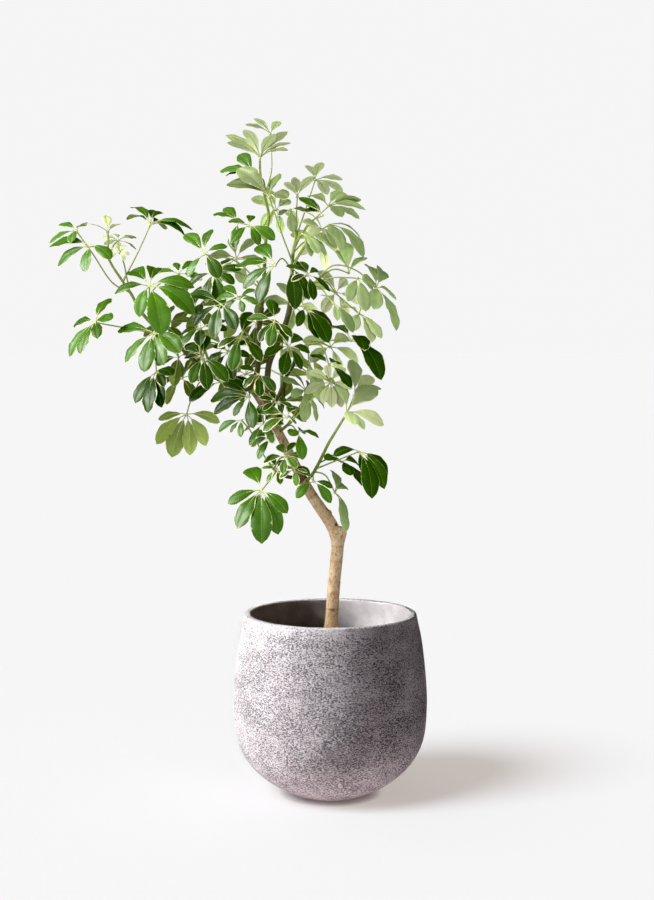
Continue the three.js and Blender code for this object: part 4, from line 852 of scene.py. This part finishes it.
def make_trunk(material):
    """The woody trunk and its limbs, grown together, with ring scars and uneven bark."""
    tubes = [(TRUNK, 0.0)] + [(limb, 1.0) for limb in LIMBS] + [(KNEE_STUB, 0.1), (SCAR_BUMP, 0.1)]
    rough = Surface()
    spine, youth = [], []
    for stations, young in tubes:
        centres, radii = along_stations(stations, 10 * len(stations))
        rough.tube(centres, radii, 20)
        spine.extend(centres)
        youth.extend(young * (1 - smoothstep(radii, 5, 9)))
    points, normals, faces = grown_together(rough)
    tree = tree_of(spine)
    cut = seen(KNEE_CUT)
    facts = np.zeros((len(points), 3))
    for i, point in enumerate(points):
        x, y, z = point
        place, index = tree.find(point)[:2]
        height = place[2] + 1.2 * noise.noise((x / 6, y / 6, z / 14))
        ring = max(strength * math.exp(-((height - w) / 1.3) ** 2) for w, strength in TRUNK_RINGS)
        ring *= 0.65 + 0.7 * noise.noise((x / 4, y / 4, z / 30))
        if youth[index] > 0:
            ring = 0.5 * max(0, math.sin(place[2] / 3.2 + place[0] / 5)) ** 8
        scar = math.exp(-(np.linalg.norm(point - cut) / 5) ** 2)
        facts[i] = (ring, youth[index], scar)
        grain = noise.fractal((x / 5, y / 5, z / 9), 1, 2, 4)
        points[i] += normals[i] * (0.2 * ring - 1.3 * scar + 0.3 * grain)
    surface = Surface()
    surface.add(points, faces, 0, facts)
    return surface.piece("Woody_trunk", [material], "trunk", "bark")


def rgb(code):
    """A colour as seen on a screen, 0xRRGGBB, in the renderer's own linear values."""
    parts = [(code >> shift & 255) / 255 for shift in (16, 8, 0)]
    return (*[c / 12.92 if c <= 0.04045 else ((c + 0.055) / 1.055) ** 2.4 for c in parts], 1)


class Value:
    """An output of a material's node. Sums, differences and products with it make further nodes."""

    def __init__(self, shader, socket):
        self.shader = shader
        self.socket = socket

    def __add__(self, other):
        return self.shader.math("ADD", self, other)

    def __sub__(self, other):
        return self.shader.math("SUBTRACT", self, other)

    def __mul__(self, other):
        return self.shader.math("MULTIPLY", self, other)


class Shader:
    """A material's nodes. Most methods give back a value that the next one can use."""

    def __init__(self, name, roughness=0.5):
        self.material = bpy.data.materials.new(name)
        self.material.use_nodes = True
        self.tree = self.material.node_tree
        self.surface = self.tree.nodes["Principled BSDF"]
        self.surface.inputs["Roughness"].default_value = roughness

    def feed(self, socket, value):
        """Gives a socket a value, a number, a vector or a colour as 0xRRGGBB."""
        if isinstance(value, Value):
            self.tree.links.new(value.socket, socket)
        elif isinstance(value, int) and socket.type == "RGBA":
            socket.default_value = rgb(value)
        else:
            socket.default_value = value

    def node(self, kind, inputs, output=0, **settings):
        node = self.tree.nodes.new("ShaderNode" + kind)
        for name, setting in settings.items():
            setattr(node, name, setting)
        for name, value in inputs.items():
            self.feed(node.inputs[name], value)
        return Value(self, node.outputs[output])

    def math(self, operation, *values):
        return self.node("Math", dict(enumerate(values)), operation=operation)

    def mix(self, factor, a, b, blend="MIX"):
        return self.node("Mix", {0: factor, 6: a, 7: b}, 2, data_type="RGBA", blend_type=blend)

    def step(self, value, low, high, start=0.0, end=1.0):
        """A smooth change from start to end as the value goes from low to high."""
        ranges = {"From Min": low, "From Max": high, "To Min": start, "To Max": end}
        return self.node("MapRange", {"Value": value, **ranges}, interpolation_type="SMOOTHSTEP")

    def ramp(self, value, stops):
        """Colours along a value, as (place, colour)."""
        colour = self.node("ValToRGB", {0: value})
        points = colour.socket.node.color_ramp.elements
        while len(points) < len(stops):
            points.new(0.5)
        for point, (place, code) in zip(points, stops):
            point.position = place
            point.color = rgb(code)
        return colour

    def parts(self, vector):
        """The three numbers of a vector."""
        first = self.node("SeparateXYZ", {0: vector})
        return [Value(self, output) for output in first.socket.node.outputs]

    def fact(self, name):
        """The three numbers of a mesh fact."""
        return self.parts(self.node("Attribute", {}, "Vector", attribute_name=name))

    def place(self, stretch=(1, 1, 1)):
        """The point's own place in metres, stretched."""
        own = self.node("TexCoord", {}, "Object")
        return self.node("VectorMath", {0: own, 1: stretch}, operation="MULTIPLY")

    def join(self, x, y, z):
        return self.node("CombineXYZ", {0: x, 1: y, 2: z})

    def noise(self, vector, scale, detail=2.0, roughness=0.5):
        shape = {"Scale": scale, "Detail": detail, "Roughness": roughness}
        return self.node("TexNoise", {"Vector": vector, **shape}, "Fac")

    def cells(self, vector, scale):
        """Distance to the nearest of scattered points."""
        return self.node("TexVoronoi", {"Vector": vector, "Scale": scale}, "Distance")

    def bump(self, height, distance, strength=1.0):
        """Relief: the height runs from 0 to 1 over the distance, in metres."""
        relief = self.node("Bump", {"Strength": strength, "Distance": distance, "Height": height})
        self.feed(self.surface.inputs["Normal"], relief)

    def finish(self, colour, settings=()):
        """The finished material, with its colour and other settings of its surface by name."""
        for name, value in (("Base Color", colour), *settings):
            self.feed(self.surface.inputs[name], value)
        return self.material


def leaf_material(name, tones, rib_colour, roughness, relief, gloss):
    """A leaf's upper or lower face: green by its tone, mottled, with a pale midrib, side veins and an
    uneven cream margin that runs in between the veins."""
    shader = Shader(name)
    x, y, seed = shader.fact("blade")
    tone, margin, rim = shader.fact("look")
    off_rib = shader.math("ABSOLUTE", x)
    flow = y - off_rib * 0.75
    own = seed * 3.7
    lobes = shader.noise(shader.join(x * 0.03, flow, own), 0.07)
    mottle = shader.noise(shader.join(x, y, own), 0.09, 3.0, 0.55)
    fine = shader.noise(shader.join(x, y, own), 0.9)
    leaf_draw = shader.noise(shader.join(own, 0.0, 0.0), 0.37, 0.0)
    colour = shader.ramp(tone, tones)
    lighter = shader.mix(1.0, colour, 0xC8CFB0, "SOFT_LIGHT")
    colour = shader.mix(shader.step(mottle, 0.4, 0.66), colour, lighter)
    darker = shader.mix(1.0, colour, 0x8A8F86, "MULTIPLY")
    colour = shader.mix(shader.step(leaf_draw + fine * 0.2, 0.5, 0.75, 0.0, 0.5), colour, darker)
    vein = shader.math("PINGPONG", flow * 0.2, 0.5)
    side_vein = shader.step(vein, 0.1, 0.0) * shader.step(rim, 0.0, 5.0)
    colour = shader.mix(side_vein * 0.16, colour, rib_colour)
    width = margin * shader.step(leaf_draw, 0.4, 0.7, 0.3, 2.0)
    reach = width * shader.step(lobes, 0.35, 0.75, 0.4, 2.6)
    cream = shader.step(reach - rim, -0.5, 0.5)
    colour = shader.mix(cream, colour, shader.mix(fine, 0xDDD9B2, 0xC8CA94))
    colour = shader.mix(shader.step(off_rib, 0.7, 0.2) * 0.22, colour, rib_colour)
    shader.bump(side_vein * relief + (fine * 0.18 + mottle * 0.5), 0.0006, 0.5)
    blotches = shader.noise(shader.place(), 60.0)
    return shader.finish(colour, [
        ("Roughness", shader.step(blotches, 0.3, 0.7, roughness - 0.06, roughness + 0.08)),
        ("Coat Weight", gloss), ("Coat Roughness", 0.22), ("Specular IOR Level", 0.37),
    ])


def leaf_top_material():
    """A leaf's upper face: glossy, dark green when old and cream when young."""
    tones = [(0.0, 0x203F05), (0.28, 0x507E1E), (0.45, 0x747B58), (0.65, 0x90A96E), (0.8, 0xAEC288),
             (1.0, 0xCED8A0)]
    return leaf_material("leaf_upper", tones, 0x9DB060, 0.4, 0.35, 0.05)


def leaf_under_material():
    """A leaf's lower face: matt and paler, with raised veins. Its pale tones are partly the underside's
    own colour and partly painted light that stands in for light shining through the leaf.
    """
    tones = [(0.0, 0x5A6E22), (0.13, 0x9AAE54), (0.6, 0xB8CE8A), (0.8, 0xCCDE9E), (1.0, 0xF0F4C6)]
    return leaf_material("leaf_lower", tones, 0xB4BE84, 0.6, -0.5, 0.0)


def stem_material():
    """Stems, petioles and hubs: pale at the hubs, yellow-green petioles, darker older stems."""
    shader = Shader("leaf_stem", 0.45)
    age = shader.fact("look")[0]
    colour = shader.ramp(age, [(0.0, 0xC6C98C), (0.3, 0xA9B766), (0.55, 0x8DA24C), (1.0, 0x48641F)])
    grain = shader.noise(shader.place((1, 1, 0.35)), 420.0, 3.0)
    brown = shader.mix(0.55, colour, 0x7A5E3C)
    colour = shader.mix(shader.step(grain, 0.5, 0.68), colour, brown)
    shader.bump(grain, 0.0004, 0.6)
    return shader.finish(colour)


def bark_material():
    """Tan bark with brown corky flecks, dark ring scars and greener, younger limbs."""
    shader = Shader("bark", 0.85)
    ring, youth, scar = shader.fact("look")
    place = shader.place()
    height = shader.parts(place)[2]
    broad = shader.noise(place, 40.0, 4.0, 0.6)
    grain = shader.noise(shader.place((1, 1, 0.45)), 480.0, 4.0, 0.65)
    colour = shader.ramp(broad, [(0.3, 0xA58A68), (0.5, 0xB99F80), (0.68, 0xC9B495)])
    colour = shader.mix(shader.step(grain, 0.35, 0.7, 0.0, 0.5), colour, 0x8F7350)
    colour = shader.mix(shader.step(height, 0.37, 0.27, 0.0, 0.75), colour, 0x725E34)
    flecks = shader.step(shader.noise(shader.place((1, 1, 0.6)), 210.0), 0.56, 0.64)
    dots = shader.step(shader.cells(shader.place((1, 1, 1.7)), 190.0), 0.3, 0.14)
    marks = dots * shader.step(shader.noise(place, 95.0, 1.0), 0.44, 0.56)
    marks = shader.math("MAXIMUM", marks, flecks * 0.65)
    colour = shader.mix(marks * 0.85, colour, 0x7C4F33)
    colour = shader.mix(youth * 0.9, colour, shader.mix(broad, 0x424A20, 0x35421A))
    colour = shader.mix(ring * 0.95, colour, 0x54391E)
    colour = shader.mix(shader.step(scar, 0.45, 0.85), colour, 0x4A3220)
    shader.bump(grain * 0.6 + marks * 0.7, 0.0009, 0.8)
    return shader.finish(colour)


def stone_material():
    """Speckled cast stone: pale mauve, with dense dark pits in faint level streaks and a calm band at
    the lip."""
    shader = Shader("planter_stone", 0.88)
    place = shader.place()
    ground = shader.step(shader.noise(place, 26.0, 4.0, 0.6), 0.35, 0.66)
    colour = shader.mix(ground, 0xB3A8AA, 0xC4B9BB)
    grit = shader.step(shader.noise(place, 900.0), 0.4, 0.7, 0.0, 0.6)
    colour = shader.mix(grit, colour, 0x9A8F94)
    streaks = shader.noise(shader.place((0.35, 0.35, 2.0)), 18.0, 3.0, 0.6)
    patches = shader.noise(place, 20.0)
    bias = ((streaks - 0.5) + (patches - 0.5)) * 0.14
    calm = shader.step(shader.parts(place)[2], 0.302, 0.328, 0.0, 0.07)
    worms = shader.noise(shader.place((0.85, 0.85, 1.9)), 340.0, 3.0, 0.6)
    pits = shader.step(worms + bias - calm, 0.485, 0.55)
    specks = shader.noise(shader.place((1, 1, 1.2)), 420.0, 1.0)
    dots = shader.step(specks + bias * 0.5, 0.6, 0.66)
    marks = shader.math("MAXIMUM", pits, dots * 0.7)
    dark = shader.mix(shader.noise(place, 300.0, 1.0), 0x352C30, 0x1E191B)
    colour = shader.mix(marks * 0.84, colour, dark)
    shader.bump(shader.noise(place, 700.0, 3.0) * 0.25 - marks, 0.0011, 0.75)
    return shader.finish(colour)


def lining_material():
    """The planter's smooth inside, clouded and faintly speckled."""
    shader = Shader("planter_lining", 0.85)
    place = shader.place()
    cloud = shader.noise(place, 22.0, 4.0, 0.6)
    colour = shader.mix(shader.step(cloud, 0.35, 0.68), 0x9F9595, 0xB2A9A9)
    fine = shader.noise(place, 420.0, 3.0)
    colour = shader.mix(shader.step(fine, 0.56, 0.7, 0.0, 0.4), colour, 0x75696D)
    shader.bump(fine, 0.0005, 0.5)
    return shader.finish(colour)


def soil_material():
    """Dark brown potting soil with lighter bits."""
    shader = Shader("potting_soil", 0.95)
    kind = shader.fact("look")[0]
    grain = shader.noise(shader.place(), 320.0, 5.0, 0.7)
    colour = shader.ramp(kind, [(0.0, 0x2B1E16), (0.5, 0x4A3424), (0.85, 0x6E4F36), (1.0, 0xA08C74)])
    colour = shader.mix(shader.step(grain, 0.4, 0.7, 0.0, 0.7), colour, 0x1C1410)
    shader.bump(grain, 0.0015, 0.9)
    return shader.finish(colour)


def add_camera():
    data = bpy.data.cameras.new("camera")
    data.lens = LENS
    data.sensor_width = SENSOR
    data.clip_end = 60
    camera = add_object("camera", data)
    camera.location = Vector((EYE_X, -EYE_DISTANCE, EYE_HEIGHT)) * MM
    camera.rotation_euler = (math.radians(90 - EYE_PITCH), 0, 0)
    bpy.context.scene.camera = camera


def set_tones():
    """Plain tones, with the darkest of them deepened."""
    view = bpy.context.scene.view_settings
    view.view_transform = "Standard"
    view.use_curve_mapping = True
    view.curve_mapping.black_level = (BLACK_LEVEL,) * 3
    view.curve_mapping.update()


def add_sun(name, light, lit, blocking=()):
    """A wide soft light that only the given pieces receive and block. Without any to block it, all do."""
    strength, softness, azimuth, height, colour = light
    data = bpy.data.lights.new(name, "SUN")
    data.energy = strength
    data.angle = math.radians(softness)
    data.color = rgb(colour)[:3]
    sun = add_object(name, data)
    azimuth, height = math.radians(azimuth), math.radians(height)
    towards = Vector((-math.cos(azimuth) * math.cos(height), -math.sin(azimuth) * math.cos(height),
                      math.sin(height)))
    sun.rotation_euler = towards.to_track_quat("Z", "Y").to_euler()
    for kind, pieces in (("receiver", lit), ("blocker", blocking)):
        if pieces:
            group = bpy.data.collections.new(name + "_" + kind)
            for piece in pieces:
                group.objects.link(piece)
            setattr(sun.light_linking, kind + "_collection", group)
    return sun


def add_room():
    """A faint even light all round, and a pale backdrop that only the camera sees."""
    world = bpy.data.worlds.new("room")
    bpy.context.scene.world = world
    world.use_nodes = True
    nodes, links = world.node_tree.nodes, world.node_tree.links
    room = nodes["Background"]
    shown = nodes.new("ShaderNodeBackground")
    for background, colour, strength in ((room, ROOM_COLOUR, ROOM_LIGHT), (shown, 0xFFFFFF, ROOM_SHOWN)):
        background.inputs[0].default_value = rgb(colour)
        background.inputs[1].default_value = strength
    rays = nodes.new("ShaderNodeLightPath")
    either = nodes.new("ShaderNodeMixShader")
    for output, place in ((rays.outputs["Is Camera Ray"], 0), (room.outputs[0], 1), (shown.outputs[0], 2)):
        links.new(output, either.inputs[place])
    links.new(either.outputs[0], nodes["World Output"].inputs[0])


def floor_material():
    """Pale paint that glows evenly as in a bright studio, with painted contact shade where the glow dims
    close under the pot, and less glow towards other things than towards the camera."""
    shader = Shader("floor_paint", 0.9)
    # Painted contact shade: occlusion dims the floor's glow where the pot stands close above it.
    contact_shade = shader.node("AmbientOcclusion", {"Distance": FLOOR_CONTACT_SHADE}, "AO")
    seen_straight = shader.node("LightPath", {}, "Is Camera Ray")
    glow = contact_shade * FLOOR_GLOW * shader.step(seen_straight, 0.0, 1.0, FLOOR_BOUNCE, 1.0)
    return shader.finish(FLOOR_COLOUR, [
        ("Specular IOR Level", 0.0), ("Emission Color", FLOOR_GLOW_COLOUR), ("Emission Strength", glow),
    ])


def add_floor():
    """A wide pale floor at height 0."""
    half = FLOOR_HALF
    corners = [(-half, -half, 0), (half, -half, 0), (half, half, 0), (-half, half, 0)]
    mesh = new_mesh("floor", corners, [(0, 1, 2, 3)])
    mesh.materials.append(floor_material())
    floor = add_object("Floor", mesh)
    floor.visible_glossy = False
    return floor


add_camera()
set_tones()

pot = make_pot(stone_material(), lining_material())
pieces = [pot, make_soil(soil_material()), make_trunk(bark_material())]
leaf_materials = [leaf_top_material(), leaf_under_material(), stem_material()]
leaves_before = 0
for name, slot, stem, leaves in SHOOTS:
    pieces.append(make_shoot(name, slot, stem, leaves, leaf_materials, leaves_before))
    leaves_before += len(leaves)

plant = pieces[2:]
add_sun("pot_sun", POT_SUN, pieces[:2])
add_sun("plant_sun", PLANT_SUN, plant)
add_sun("plant_fill", PLANT_FILL, plant, plant).visible_glossy = False
add_sun("pot_bounce", POT_BOUNCE, [pot], [pot]).visible_glossy = False
floor = add_floor()
add_sun("floor_sun", FLOOR_SUN, [floor], [pot])
add_sun("floor_sky", FLOOR_SKY, [floor], [pot])
add_room()
